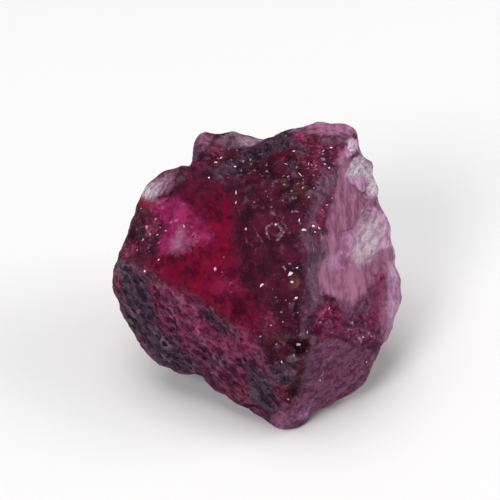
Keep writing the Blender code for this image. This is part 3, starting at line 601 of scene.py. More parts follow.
class ShaderBench:
    """Where one material's nodes are made and linked."""

    def __init__(self, name: str) -> None:
        """Starts an empty node tree.

        Args:
            name: the material's name.
        """
        self.material = bpy.data.materials.new(name)
        self.material.use_nodes = True
        self.tree = self.material.node_tree
        self.tree.nodes.clear()

    def node(
        self,
        kind: str,
        settings: Optional[dict[str, Any]] = None,
        sockets: Optional[dict[Union[str, int], Any]] = None,
        output: Union[str, int] = 0,
    ) -> Field:
        """Makes any node.

        Args:
            kind: the node's type.
            settings: its own properties, set before its sockets.
            sockets: its inputs by name or number, each a value or a Field to link.
            output: which of its outputs comes back.

        Returns:
            That output.
        """
        made = self.tree.nodes.new(kind)
        for name, value in (settings or {}).items():
            setattr(made, name, value)
        for name, value in (sockets or {}).items():
            if isinstance(value, Field):
                self.tree.links.new(value.socket, made.inputs[name])
            else:
                made.inputs[name].default_value = value
        return Field(self, made.outputs[output])

    def vector(self, operation: str, *vectors: Feed) -> Field:
        """A Vector Math node on one or two vectors."""
        return self.node("ShaderNodeVectorMath", {"operation": operation}, dict(enumerate(vectors)))

    def scaled(self, vector: Field, scale: Field) -> Field:
        """A vector made longer or shorter by a value."""
        return self.node("ShaderNodeVectorMath", {"operation": "SCALE"}, {0: vector, "Scale": scale})

    def blend(self, share: Feed, under: Feed, over: Feed, mode: str = "MIX") -> Field:
        """One colour laid over another.

        Args:
            share: how much of the upper colour shows.
            under: the lower colour.
            over: the upper colour.
            mode: how they mix.

        Returns:
            The mixed colour.
        """
        settings = {"data_type": "RGBA", "blend_type": mode}
        return self.node("ShaderNodeMix", settings, {0: share, 6: under, 7: over}, 2)

    def painted(self, name: str) -> Field:
        """A value stored on the mesh."""
        return self.node("ShaderNodeAttribute", {"attribute_name": name}, output="Fac")

    def layer(self, layer: Layer) -> Field:
        """How much of a finish lies at each place."""
        return self.painted(layer.value)

    def principled(self, sockets: dict[str, Any]) -> Field:
        """A Principled shader."""
        return self.node("ShaderNodeBsdfPrincipled", sockets=sockets)

    def dress(self, shader: Field) -> bpy.types.Material:
        """The material, once a shader is made its surface."""
        made = self.tree.nodes.new("ShaderNodeOutputMaterial")
        self.tree.links.new(shader.socket, made.inputs["Surface"])
        return self.material


# ---------------------------------------------------------------- the stone's fine relief


@dataclass(frozen=True)
class Chips:
    """Flat facets, each tilted its own way, that meet in low edges."""

    rise: float = 0.11
    size: float = 1.5  # of a facet, in millimetres
    tilt_scale: float = 5.3
    step: float = 0.3  # how far one facet stands above another
    step_scale: float = 3.1

    def height(self, place: Vector) -> float:
        """How much it raises the skin at a place, in millimetres."""
        spot = place / self.size + SEED
        tops = []
        for centre in noise.voronoi(spot)[1]:
            top = (spot - centre).dot(noise.noise_vector(centre * self.tilt_scale))
            tops.append(top + self.step * noise.noise(centre * self.step_scale))
        return self.rise * max(tops)


@dataclass(frozen=True)
class Crumbs:
    """Crumbly, sharp-ridged breakage."""

    rise: float = 0.055
    size: float = 0.75
    fall: float = 0.9  # how quickly the finer octaves fade
    finer: float = 2.1  # how much finer each octave is
    octaves: int = 4
    offset: float = 0.9
    gain: float = 1.6

    def height(self, place: Vector) -> float:
        """How much it raises the skin at a place, in millimetres."""
        spot = place / self.size
        ridges = noise.ridged_multi_fractal(spot, self.fall, self.finer, self.octaves, self.offset, self.gain)
        return self.rise * (ridges - 1.0)


@dataclass(frozen=True)
class Pits:
    """Slanting elongated pits."""

    depth: float = 0.2
    length: float = 0.62
    width: float = 0.26
    slant: float = math.radians(48)
    clump: float = 0.6  # how strongly they gather
    clump_scale: float = 0.45
    sides: Span = (0.05, 0.6)  # the noise from a pit's rim to its floor

    def height(self, place: Vector) -> float:
        """How much it raises the skin at a place, in millimetres, which is never more than 0."""
        along = math.cos(self.slant) * place.x - math.sin(self.slant) * place.y
        aside = math.sin(self.slant) * place.x + math.cos(self.slant) * place.y
        spot = Vector((along / self.length, aside / self.width, place.z / self.length))
        streak = noise.noise(spot + SEED) + self.clump * noise.noise(spot * self.clump_scale - SEED)
        return -self.depth * smooth_step(*self.sides, streak)


@dataclass(frozen=True)
class Ribs:
    """Upright ribs."""

    rise: float = 0.05
    spacing: float = 0.45
    length: float = 4.0
    lean_out: float = 0.45  # how far they lean across for each millimetre out
    lean_up: float = 0.12

    def height(self, place: Vector) -> float:
        """How much it raises the skin at a place, in millimetres."""
        lean = place.x + self.lean_out * place.z + self.lean_up * place.y
        spot = Vector((lean / self.spacing, place.y / self.length, place.z / self.length))
        return self.rise * noise.noise(spot + SEED)


@dataclass(frozen=True)
class Ripples:
    """Shell-shaped ripples round the point that the flake was struck from."""

    rise: float = 0.018
    spacing: float = 0.8
    struck: Vector = Vector((-7.4, 9.6, 4.0))
    bend: float = 1.1  # how far they stray from true rings
    bend_scale: float = 0.3
    shown: Span = (-0.1, 0.5)  # the noise from where they are gone to where they are full
    shown_scale: float = 0.25

    def height(self, place: Vector) -> float:
        """How much it raises the skin at a place, in millimetres."""
        reach = (place - self.struck).length + self.bend * noise.noise(place * self.bend_scale + SEED)
        fade = smooth_step(*self.shown, noise.noise(place * self.shown_scale - SEED))
        return self.rise * fade * math.sin(2 * math.pi * reach / self.spacing)


@dataclass(frozen=True)
class Weather:
    """The unevenness that every finish shares."""

    rise: float = 0.045
    size: float = 1.2
    fall: float = 0.8  # how quickly the finer octaves fade
    finer: float = 2.1  # how much finer each octave is
    octaves: int = 4

    def height(self, place: Vector) -> float:
        """How much it raises the skin at a place, in millimetres."""
        return self.rise * noise.fractal(place / self.size + SEED, self.fall, self.finer, self.octaves)


@dataclass(frozen=True)
class Dimple:
    """A small glassy pock with a raised rim."""

    across: float
    up: float
    radius: float
    rim: float = 0.09
    width: float = 0.16

    def height(self, place: Vector) -> float:
        """How much it raises the skin at a place, in millimetres."""
        off = (math.hypot(place.x - self.across, place.y - self.up) - self.radius) / self.width
        return self.rim * math.exp(-off * off)


@dataclass(frozen=True)
class Scoop:
    """A shallow bite out of the stone's edge."""

    across: float
    up: float
    radius: float
    depth: float

    def height(self, place: Vector) -> float:
        """How much it raises the skin at a place, in millimetres, which is never more than 0."""
        off = math.hypot(place.x - self.across, place.y - self.up) / self.radius
        return -self.depth * smooth_step(1.0, 0.0, off)


@dataclass(frozen=True)
class FineRelief:
    """All that the finely meshed skin is raised by, and how much of it each finish has."""

    chips: Chips = Chips()
    crumbs: Crumbs = Crumbs()
    pits: Pits = Pits()
    ribs: Ribs = Ribs()
    ripples: Ripples = Ripples()
    weather: Weather = Weather()
    dimples: tuple[Dimple, ...] = (
        Dimple(2.0, 4.5, 0.55),
        Dimple(-4.6, 5.3, 0.5, 0.03),
        Dimple(5.6, 5.0, 0.3),
    )
    scoops: tuple[Scoop, ...] = (
        Scoop(11.6, 12.6, 1.5, 0.6),
        Scoop(13.2, -7.2, 0.9, 0.35),
        Scoop(-14.4, 1.7, 1.2, 0.35),
        Scoop(-12.5, 6.4, 1.0, 0.25),
    )
    plum_calm: float = 0.6  # how far the plum finish calms the crumbly one under it
    glassy_even: float = 0.8  # how far each kind of surface is evened out
    ribbed_even: float = 0.55
    cheek_even: float = 0.3
    pitted_even: float = 0.4
    fewest_crumbs: float = 0.2  # the share of the crumbs that lies everywhere

    def height(self, place: Vector, shares: dict[Layer, float]) -> float:
        """All the relief at a place.

        Args:
            place: (across, up, out) in millimetres.
            shares: how much of each finish lies there.

        Returns:
            The height to raise the skin by.
        """
        glassy = min(shares[Layer.WINDOW] + shares[Layer.MAGENTA], 1.0)
        ribbed = min(shares[Layer.ROSE] + shares[Layer.VEIL], 1.0)
        crumbly = max(shares[Layer.CRUMBLE] * (1 - self.plum_calm * shares[Layer.PLUM]), shares[Layer.LEDGE])
        pitted = max(shares[Layer.SLATE], shares[Layer.MAUVE]) * (1 - shares[Layer.CRUMBLE])
        even = max(
            self.glassy_even * glassy,
            self.ribbed_even * ribbed,
            self.cheek_even * shares[Layer.CHEEK],
            self.pitted_even * pitted,
        )
        crumbs = self.fewest_crumbs + (1 - self.fewest_crumbs) * crumbly
        height = (1 - even) * self.chips.height(place) + crumbs * (1 - even) * self.crumbs.height(place)
        height += pitted * self.pits.height(place) + ribbed * self.ribs.height(place)
        height += glassy * self.ripples.height(place) + self.weather.height(place)
        height += sum(scoop.height(place) for scoop in self.scoops)
        if place.z > 0:
            height += sum(dimple.height(place) for dimple in self.dimples)
        return height


# ---------------------------------------------------------------- the grains set in the skin


@dataclass(frozen=True)
class Crystal:
    """One small glassy grain that stands half out of the skin, pale and partly painted white as a glint."""

    across: float
    up: float
    size: float  # its width in millimetres
    long: float = 1.3  # its length over its width
    turn: float = 0.0  # degrees, anticlockwise
    bright: float = 1.0  # from 0.5 for mauve to 1 for white, where white is a painted glint


CRYSTALS = tuple(
    Crystal(*row)
    for row in (
        (3.5, 0.3, 0.52, 1.5, 35), (4.2, 0.8, 0.26, 1.2, 0, 0.9), (3.7, -0.6, 0.26, 1.5, -30, 0.8),
        (0.7, -0.9, 0.4, 1.7, 50), (4.9, 4.5, 0.5, 1.2, 0, 0.85), (4.4, 5.6, 0.2, 2.6, 85, 0.9),
        (5.8, 5, 0.32, 1.3, 20), (6.4, 4.8, 0.26, 1.4, -40, 0.95), (6, 4.4, 0.2, 1.4, 60, 0.8),
        (-4, 0.7, 0.38, 1.2, 30, 0.85), (4.3, -6.8, 0.46, 1.5, 25, 0.9), (4.4, -5.9, 0.28, 1.1, 0, 0.85),
        (5.2, -5.6, 0.18, 2, 70, 0.7), (-3.9, 11.3, 0.38, 1.5, -30, 0.95), (-3.4, 11.8, 0.14, 3.4, 55, 0.8),
        (-2, 10.9, 0.28, 1.3, 20, 0.95), (-4.6, 9.8, 0.28, 1.2, 0, 0.95), (-2.8, 11, 0.16, 1.6, 0, 0.7),
        (-11, 0.5, 0.34, 1.2, 60, 0.9), (-7.1, 5, 0.24, 1.3, 90), (-9.6, 1.6, 0.26, 1.2, 0, 0.95),
        (11.1, -8.6, 0.22, 1, 0), (-1.9, 8.3, 0.18, 3, 85, 0.8), (-1.9, 7.4, 0.26, 1.8, 80, 0.9),
        (-0.1, 7.3, 0.18, 2.2, 60, 0.65), (-0.9, 4.7, 0.26, 1.2, 0, 0.8), (3.1, 11.2, 0.22, 2.2, -35, 0.8),
        (4.5, 10.1, 0.2, 3.2, -60, 0.85), (5.4, 11.2, 0.22, 1.8, 80, 0.85), (6.1, 11, 0.18, 1.4, 30, 0.8),
        (7, 11.2, 0.26, 1.3, 60, 0.9), (7.4, 10.8, 0.2, 1.2, 0, 0.85), (7.6, 12.8, 0.26, 1.2, 20, 0.95),
        (6.8, 12.5, 0.18, 2.2, 25, 0.85), (3.9, 12.5, 0.24, 1.2, 0, 0.95), (4.8, 8.8, 0.2, 1.4, 40, 0.75),
        (4.1, 7.8, 0.18, 1.4, 0, 0.7), (5.9, 8.8, 0.16, 1.4, 60, 0.7), (5.4, 7.9, 0.18, 1.4, 30, 0.75),
        (2.1, 5.1, 0.28, 1.5, -20, 0.95), (0.5, -6, 0.26, 1.3, 30, 0.75), (2.7, -8.6, 0.22, 1.6, -60, 0.9),
        (3.3, -12.3, 0.2, 1.1, 0, 0.9), (6.5, -10.4, 0.18, 1.2, 0, 0.8), (2.8, -4.6, 0.16, 1.6, 0, 0.7),
        (4.1, -2.2, 0.26, 1.4, 30, 0.85), (4.3, -3.6, 0.18, 1.4, 60, 0.75), (3.1, -2.4, 0.16, 1.2, 0, 0.7),
        (1.6, -4.9, 0.16, 1.4, 0, 0.7), (2.1, -6.8, 0.18, 1.6, 40, 0.7), (7.2, 7.1, 0.22, 1.3, 40, 0.75),
        (6.7, 6.6, 0.2, 1.3, 70, 0.75), (7.7, 7.8, 0.16, 1.4, 50, 0.7), (7.4, -3.2, 0.18, 2, 60, 0.75),
        (6.5, -4.6, 0.18, 1.6, 30, 0.7), (7.6, -5.7, 0.22, 1.3, 0, 0.75), (10.8, -6.1, 0.22, 2, -40, 0.85),
        (11.4, -5.6, 0.16, 3.4, 45, 0.6), (11.6, -6, 0.14, 3.2, -40, 0.6), (11.7, 6.3, 0.14, 1.4, 0, 0.8),
        (-10.8, 4.9, 0.42, 1.3, 80, 0.58), (-9.9, 5.6, 0.36, 1.4, 50, 0.62),
        (-10.5, 4.2, 0.22, 1.4, 20, 0.75), (-11.2, 3.6, 0.34, 1.2, 0, 0.54),
        (-8.9, 4.5, 0.24, 1.5, 40, 0.7), (9.2, 5.6, 0.16, 1.2, 0, 0.6), (11.8, 10.8, 0.22, 1.3, 60, 0.9),
        (11.5, 11.2, 0.18, 1.4, 0, 0.8), (-3.1, 1.9, 0.14, 1.2, 0, 0.6), (-3.3, 0.4, 0.14, 1.2, 0, 0.6),
    )
)


@dataclass(frozen=True)
class Seat:
    """Where a grain is set in the skin, and its shape."""

    place: Vector
    normal: Vector
    wide: float  # half its width, in metres
    long: float  # its length over its width
    turn: float  # radians, anticlockwise
    bright: float


@dataclass(frozen=True)
class GlassyGrains:
    """The small glassy grains: the drawn ones, then scattered ones where the skin is crumbly."""

    show: ShowSide
    drawn: tuple[Crystal, ...] = CRYSTALS
    scattered: int = 60
    crumbly_least: float = 0.6  # the crumbly share that scattered ones need
    base_clear: float = 1.0 * MM  # how far above the resting face they stay
    wide: tuple[float, float] = (0.04 * MM, 0.07 * MM)  # the least half width, and what chance may add
    bright: tuple[float, float] = (0.45, 0.35)  # the same for how bright
    corners: int = 9
    flat: float = 0.7  # its height over its width
    seed: int = 11

    def drawn_seats(self, skin: bmesh.types.BMesh) -> list[Seat]:
        """The seats of the drawn grains.

        Args:
            skin: the carved skin.

        Returns:
            A seat where the line of sight to each grain meets the skin.
        """
        tree = BVHTree.FromBMesh(skin)
        start = self.show.point(*self.show.aim, self.show.distance)
        seats = []
        for grain in self.drawn:
            hit, normal, _, _ = tree.ray_cast(start, self.show.point(grain.across, grain.up, 0.0) - start)
            if hit is not None:
                turn = math.radians(grain.turn)
                seats.append(Seat(hit, normal, grain.size / 2 * MM, grain.long, turn, grain.bright))
        return seats

    def scattered_seats(
        self, skin: bmesh.types.BMesh, crumbly: np.ndarray, chance: np.random.Generator
    ) -> list[Seat]:
        """The seats of the scattered grains.

        Args:
            skin: the carved skin.
            crumbly: the share of crumbly finish at each of its vertices.
            chance: where random numbers are drawn from.

        Returns:
            The seats.
        """
        skin.verts.ensure_lookup_table()
        clear = np.array([vert.co.z > self.base_clear for vert in skin.verts])
        odds = np.maximum(crumbly - self.crumbly_least, 0) * clear
        seats = []
        for number in chance.choice(len(odds), size=self.scattered, replace=False, p=odds / odds.sum()):
            vert = skin.verts[int(number)]
            wide = self.wide[0] + self.wide[1] * chance.random() ** 2
            long, turn = 1 + chance.random(), math.pi * chance.random()
            bright = self.bright[0] + self.bright[1] * chance.random()
            seats.append(Seat(vert.co.copy(), vert.normal.copy(), wide, long, turn, bright))
        return seats

    def grow(self, skin: bmesh.types.BMesh, seat: Seat, chance: np.random.Generator) -> None:
        """Adds one grain to the skin: the hull of a few corners on a squashed ball.

        Args:
            skin: the skin, which is added to.
            seat: where the grain is set, and its shape.
            chance: where random numbers are drawn from.
        """
        across = Vector((1, 0, 0)) - seat.normal * seat.normal.x
        aside = seat.normal.cross(across.normalized())
        along = across.normalized() * math.cos(seat.turn) + aside * math.sin(seat.turn)
        turned = Matrix((along, seat.normal.cross(along), seat.normal)).transposed()
        hull = []
        for corner in chance.normal(size=(self.corners, 3)):
            ball = Vector(corner).normalized()
            squashed = Vector((ball.x * seat.long, ball.y, self.flat * ball.z)) * seat.wide
            hull.append(skin.verts.new(seat.place + turned @ squashed))
        made = bmesh.ops.convex_hull(skin, input=hull)
        bmesh.ops.delete(skin, geom=made["geom_interior"], context="VERTS")

    def plant(self, skin: bmesh.types.BMesh, crumbly: np.ndarray) -> np.ndarray:
        """Sets every grain in the skin.

        Args:
            skin: the carved skin, which is added to.
            crumbly: the share of crumbly finish at each of its vertices.

        Returns:
            How bright the grain is at each vertex of the skin with its grains, 0 off the grains.
        """
        chance = np.random.default_rng(self.seed)
        glint = [0.0] * len(skin.verts)
        for seat in self.drawn_seats(skin) + self.scattered_seats(skin, crumbly, chance):
            self.grow(skin, seat, chance)
            glint += [seat.bright] * (len(skin.verts) - len(glint))
        return np.array(glint)


# ---------------------------------------------------------------- the stone


@dataclass
class RubyStone:
    """The one stone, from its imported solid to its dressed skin."""

    show: ShowSide
    relief: FineRelief = FineRelief()
    voxel: float = 0.18 * MM
    soften_rounds: int = 3
    soften_step: float = 0.5
    base_guard: float = 0.35 * MM  # relief fades out this close to the resting face
    wander: float = 0.3  # how far the patches' borders stray, in millimetres
    wander_scale: float = 0.6
    fray: float = 0.5  # the share of the straying that is finer
    fray_scale: float = 2.2
    facing_middle: float = -0.05  # how squarely out a place faces where the patches are half gone
    facing_spread: float = 0.2  # how much more, or less, where they are full, or gone
    hollow_rounds: int = 14
    hollow_step: float = 0.7
    hollow_depth: float = 0.12 * MM
    plum_bare: float = 0.3  # how far the plum finish keeps scattered grains away
    noise_seed: int = 11  # for noise_vector, whose offsets would otherwise come from the clock

    def skin(self) -> bmesh.types.BMesh:
        """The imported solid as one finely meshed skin.

        Returns:
            The skin, with the corners of the solid's triangles softened.
        """
        solid = bmesh.new()
        solid.from_mesh(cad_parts[NODE].data)
        bmesh.ops.remove_doubles(solid, verts=solid.verts, dist=0.001 * MM)
        mesh = bpy.data.meshes.new("rough_stone")
        solid.to_mesh(mesh)
        solid.free()
        rough = add_object("rough_stone", mesh)
        remesh = rough.modifiers.new("fine skin", "REMESH")
        remesh.mode = "VOXEL"
        remesh.voxel_size = self.voxel
        evaluated = rough.evaluated_get(bpy.context.evaluated_depsgraph_get())
        skin = bmesh.new()
        skin.from_mesh(evaluated.to_mesh())
        evaluated.to_mesh_clear()
        bpy.data.objects.remove(rough)
        bpy.data.meshes.remove(mesh)
        for _ in range(self.soften_rounds):
            bmesh.ops.smooth_vert(skin, verts=skin.verts, factor=self.soften_step, **ALL_AXES)
        skin.normal_update()
        return skin

    def shares(self, skin: bmesh.types.BMesh) -> dict[Layer, np.ndarray]:
        """How much of each finish lies at each vertex.

        Args:
            skin: the finely meshed skin.

        Returns:
            Shares from 0 to 1 for each layer.
        """
        places = [self.show.place(vert.co) for vert in skin.verts]
        strays = [
            noise.noise_vector(place * self.wander_scale + SEED)
            + self.fray * noise.noise_vector(place * self.fray_scale)
            for place in places
        ]
        across, up = self.show.drawn(np.array(places) + self.wander * np.array(strays))
        facing = np.array([vert.normal.dot(self.show.out) for vert in skin.verts])
        shown = soft_step((facing - self.facing_middle) / self.facing_spread)
        found = {}
        for number, layer in enumerate(Layer, start=1):
            drawn = shown * np.clip(sum(patch.share(across, up) for patch in PATCHES[layer]), 0.0, 1.0)
            if layer in HIDDEN:
                zones = np.array([HIDDEN[layer].share(place, number) for place in places])
                drawn += (1 - shown) * zones
            found[layer] = drawn
        return found

    def carve(self, skin: bmesh.types.BMesh, shares: dict[Layer, np.ndarray]) -> None:
        """Raises the fine relief on the skin.

        Args:
            skin: the finely meshed skin, which is changed.
            shares: how much of each finish lies at each vertex.
        """
        moves = []
        for number, vert in enumerate(skin.verts):
            here = {layer: float(found[number]) for layer, found in shares.items()}
            guard = smooth_step(0.0, self.base_guard, vert.co.z)
            moves.append(vert.normal * (self.relief.height(self.show.place(vert.co), here) * guard * MM))
        for vert, move in zip(skin.verts, moves):
            vert.co += move
            vert.co.z = max(vert.co.z, 0.0)
        skin.normal_update()

    def hollows(self, skin: bmesh.types.BMesh) -> np.ndarray:
        """How deep each vertex lies under the skin's evened surface, from -1 on rims to 1 in hollows, for the
        painted shade.

        Args:
            skin: the carved skin.

        Returns:
            One value for each vertex.
        """
        evened = skin.copy()
        for _ in range(self.hollow_rounds):
            bmesh.ops.smooth_vert(evened, verts=evened.verts, factor=self.hollow_step, **ALL_AXES)
        depths = [(even.co - vert.co).dot(vert.normal) for vert, even in zip(skin.verts, evened.verts)]
        evened.free()
        return np.clip(np.array(depths) / self.hollow_depth, -1.0, 1.0)

    def build(self) -> bpy.types.Object:
        """Makes the stone's piece.

        Returns:
            The piece, with the layers, the hollows and the glints stored on its mesh.
        """
        noise.seed_set(self.noise_seed)
        skin = self.skin()
        shares = self.shares(skin)
        self.carve(skin, shares)
        stored = {layer.value: found for layer, found in shares.items()} | {HOLLOW: self.hollows(skin)}
        crumbly = shares[Layer.CRUMBLE] - self.plum_bare * shares[Layer.PLUM]
        glint = GlassyGrains(self.show).plant(skin, crumbly)
        mesh = bpy.data.meshes.new(PIECE)
        skin.to_mesh(mesh)
        skin.free()
        bare = np.zeros(len(glint) - len(crumbly))  # no finish lies on the grains
        stored = {name: np.concatenate([values, bare]) for name, values in stored.items()} | {GLINT: glint}
        for name, values in stored.items():
            mesh.attributes.new(name, "FLOAT", "POINT").data.foreach_set("value", values)
        smooth = [not all(glint[corner] for corner in face.vertices) for face in mesh.polygons]
        mesh.polygons.foreach_set("use_smooth", smooth)
        triangles = sum(len(face.vertices) - 2 for face in mesh.polygons)
        log.info("%s: %d vertices, %d triangles", PIECE, len(mesh.vertices), triangles)
        return add_object(PIECE, mesh)


# ---------------------------------------------------------------- the stone's finish


@dataclass(frozen=True)
class Look:
    """How one finish is coloured, mottled and broken up at its border."""

    dark: Chip
    light: Chip
    size: Size  # of its mottles
    turn: float  # of the mottles, degrees anticlockwise
    contrast: float  # how far the mottles' noise strays from its middle before a colour is full
    accent: Optional[Chip]
    rare: float  # how rare the accent is
    soft: float = 0.5  # how far its border fades to either side, as a share
    broken: float = 1.4  # how far noise moves its border
    strength: float = 1.0


# Each row gives a look's values in turn, and the rows stand in the order that the finishes are laid.
LOOKS: dict[Layer, Look] = {
    Layer.WINDOW: Look((68, 6, 30), (116, 10, 46), (1.2, 1.7, 1.4), 24, 0.085, (118, 8, 60), 0.58, 0.5, 1.4),
    # painted glow
    Layer.EMBER_GLOW: Look((112, 6, 36), (140, 16, 48), (2.4, 1.6, 2.0), 20, 0.12, (140, 30, 72), 0.62, 0.5, 1.4),
    Layer.MAGENTA: Look(
        (112, 18, 60), (156, 44, 96), (1.5, 1.1, 1.3), 40, 0.14, (178, 96, 136), 0.61, 0.5, 0.9
    ),
    Layer.CRUMBLE: Look((42, 14, 30), (86, 22, 46), (1.6, 1.2, 1.6), 30, 0.10, (70, 48, 64), 0.6, 0.5, 1.8),
    Layer.PLUM: Look((58, 16, 36), (88, 24, 48), (1.6, 1.6, 1.6), 30, 0.10, (62, 30, 52), 0.62, 0.5, 1.6),
    Layer.MAUVE: Look((60, 24, 44), (124, 56, 84), (1.1, 0.5, 1.0), -42, 0.07, (62, 44, 58), 0.6, 0.45, 1.6),
    Layer.SLATE: Look((38, 29, 42), (80, 62, 79), (1.0, 0.5, 1.0), -46, 0.07, (100, 48, 70), 0.6, 0.45, 1.6),
    Layer.RIDGE: Look(
        (78, 52, 68), (120, 86, 106), (0.7, 2.0, 1.2), 8, 0.10, (146, 112, 136), 0.62, 0.5, 1.4, 0.95
    ),
    Layer.ROSE: Look(
        (132, 76, 106), (172, 118, 146), (0.8, 3.0, 1.4), 4, 0.12, (122, 44, 86), 0.64, 0.35, 0.9
    ),
    Layer.LEDGE: Look(
        (62, 24, 46), (122, 50, 84), (1.2, 0.7, 1.0), -10, 0.10, (146, 96, 126), 0.62, 0.5, 1.8
    ),
    Layer.CHEEK: Look((86, 46, 68), (124, 76, 104), (0.8, 0.5, 0.8), 40, 0.08, (112, 36, 70), 0.6, 0.35, 0.9),
    Layer.FLUSH: Look((90, 24, 52), (156, 60, 98), (0.8, 0.5, 0.8), -40, 0.08, (60, 22, 42), 0.56, 0.5, 2.0),
    Layer.VEIL: Look(
        (164, 106, 150), (212, 160, 200), (1.0, 1.6, 1.0), 20, 0.10, (226, 200, 218), 0.6, 0.35, 0.7
    ),
    Layer.PEARL: Look(
        (162, 126, 148), (206, 186, 196), (0.5, 1.6, 0.9), -38, 0.13, (170, 106, 144), 0.58, 0.45, 1.1
    ),
    Layer.FROST: Look(
        (188, 158, 180), (236, 222, 232), (0.35, 1.3, 0.8), -40, 0.10, (132, 80, 116), 0.57, 0.4, 1.2
    ),
    Layer.RUST: Look((70, 32, 36), (118, 76, 70), (0.6, 0.6, 0.6), 0, 0.08, None, 0.6, 0.5, 1.8, 0.7),
    # painted shade
    Layer.SHADE: Look((24, 12, 22), (36, 18, 30), (1.0, 1.0, 1.0), 0, 0.2, None, 0.6, 0.5, 1.6, 0.8),
    Layer.CREASE: Look((48, 18, 34), (78, 34, 56), (0.8, 0.8, 0.8), 0, 0.12, None, 0.6, 0.5, 1.4, 0.85),
    Layer.THREAD: Look((160, 112, 134), (206, 166, 180), (0.6, 0.6, 0.6), 0, 0.12, None, 0.6, 0.5, 1.4, 0.8),
}


@dataclass(frozen=True)
class Grain:
    """Noise with features of one size."""

    size: Size
    turn: float = 0.0  # of the features, degrees anticlockwise
    detail: float = 7.0  # how many finer octaves there are


@dataclass(frozen=True)
class RubyFinish:
    """Frosted, purple-red ruby, from slate-coloured crust to a crimson window with painted glow, and pale
    glassy flank.
    """

    body: Look = Look((52, 20, 38), (92, 34, 58), (1.6, 1.2, 1.6), 20, 0.08, (64, 50, 68), 0.57)
    coarse: Grain = Grain((1.8, 1.8, 1.8), 0, 5)
    fine: Grain = Grain((0.4, 0.4, 0.4), 0, 5)
    rough: float = 0.7  # how strong a noise's finer octaves are
    twist: float = 0.4  # how far a noise is bent by itself
    entry: Span = (0.0, 0.25)  # the share of a finish over which it comes in
    plum_calm: float = 0.7  # how far the plum finish calms the crumbly one under it

    accent_apart: Size = (31.0, 17.0, 5.0)  # from the mottles' noise to the accent's
    accent_size: float = 0.8  # of the mottles' size
    accent_edge: float = 0.05
    accent_strength: float = 0.8

    pale: Chip = (190, 150, 172)  # of the veins and the rims of hollows
    veins: Grain = Grain((1.1, 0.6, 1.1), -35, 5)
    vein_width: float = 0.014  # how close to the noise's middle a vein lies
    vein_zone: Span = (0.48, 0.6)  # the coarse noise where veins come in
    vein_clear: float = 0.85  # how far the window and the plum finish are kept clear of them
    vein_strength: float = 0.3

    deepen: Tint = (0.28, 0.2, 0.28, 1)  # what a colour is multiplied by to deepen it, for painted shade in the hollows and for dark bits and cracks
    hollow_shade_span: Span = (0.0, 0.9)  # the depths over which painted shade darkens a hollow
    hollow_shade_strength: float = 0.55
    rim_span: Span = (-0.25, -1.0)  # the depths over which a rim pales
    rim_strength: float = 0.2

    bits: Grain = Grain((0.45, 0.35, 0.45), 0, 4)
    bit_span: Span = (0.55, 0.63)  # the noise over which a dark bit comes in
    bit_strength: float = 0.6
    crack_size: float = 1.3  # of the grains between cracks, in millimetres
    crack_bend: Grain = Grain((0.9, 0.9, 0.9), 0, 4)
    crack_stray: float = 1.6  # how far the bend moves a crack
    crack_width: float = 0.045  # in grains
    crack_zone: Span = (0.55, 0.42)  # the coarse noise where cracks come in
    dark_marks: tuple[float, float, float] = (0.4, -0.38, 0.1)  # everywhere, on glassy ones, in the window

    speck: Chip = (178, 124, 148)
    specks: Grain = Grain((0.34, 0.2, 0.34), 30, 2)
    speck_span: Span = (0.64, 0.69)  # the noise over which a speck comes in
    speck_zone: Span = (0.48, 0.62)  # the coarse noise where specks come in
    speck_marks: tuple[float, float, float] = (0.06, 0.24, 0.5)  # everywhere, on crumbly ones, on rust
    fleck_glint: Chip = (246, 224, 232)  # of the brightest set grains: a pale grain's colour painted white as a glint
    grain_edge: Span = (0.2, 0.4)  # the brightness at which a set grain's own colour takes over
    grain_tone: Span = (0.5, 1.0)  # the brightness from the speck's colour to the painted glint's white

    bumps: Grain = Grain((0.3, 0.3, 0.3), 0, 4)
    bump_strength: float = 0.5
    bump_distance: float = 0.1 * MM
    bump_heights: tuple[float, float, float] = (1.6, 0.4, -0.9)  # everywhere, crumbly ones, glassy ones
    facet_size: float = 0.2  # of the glittering facets, in millimetres
    glitter: tuple[float, float] = (0.04, 0.55)  # how far facets tilt everywhere, and where crumbly
    shiny_facets: Span = (0.96, 0.98)  # the chance value of the few facets that shine
    facet_shine: float = 0.8
    grain_shine: Span = (0.6, 1.0)  # the brightness over which a set grain comes to shine

    roughness: float = 0.5
    refraction: float = 1.77
    specular: float = 0.015
    coat_roughness: float = 0.16
    glass_roughness: float = 0.2
    glass_pale: float = 0.6  # how far the clear parts' colour goes to white
    clear_strength: float = 0.25


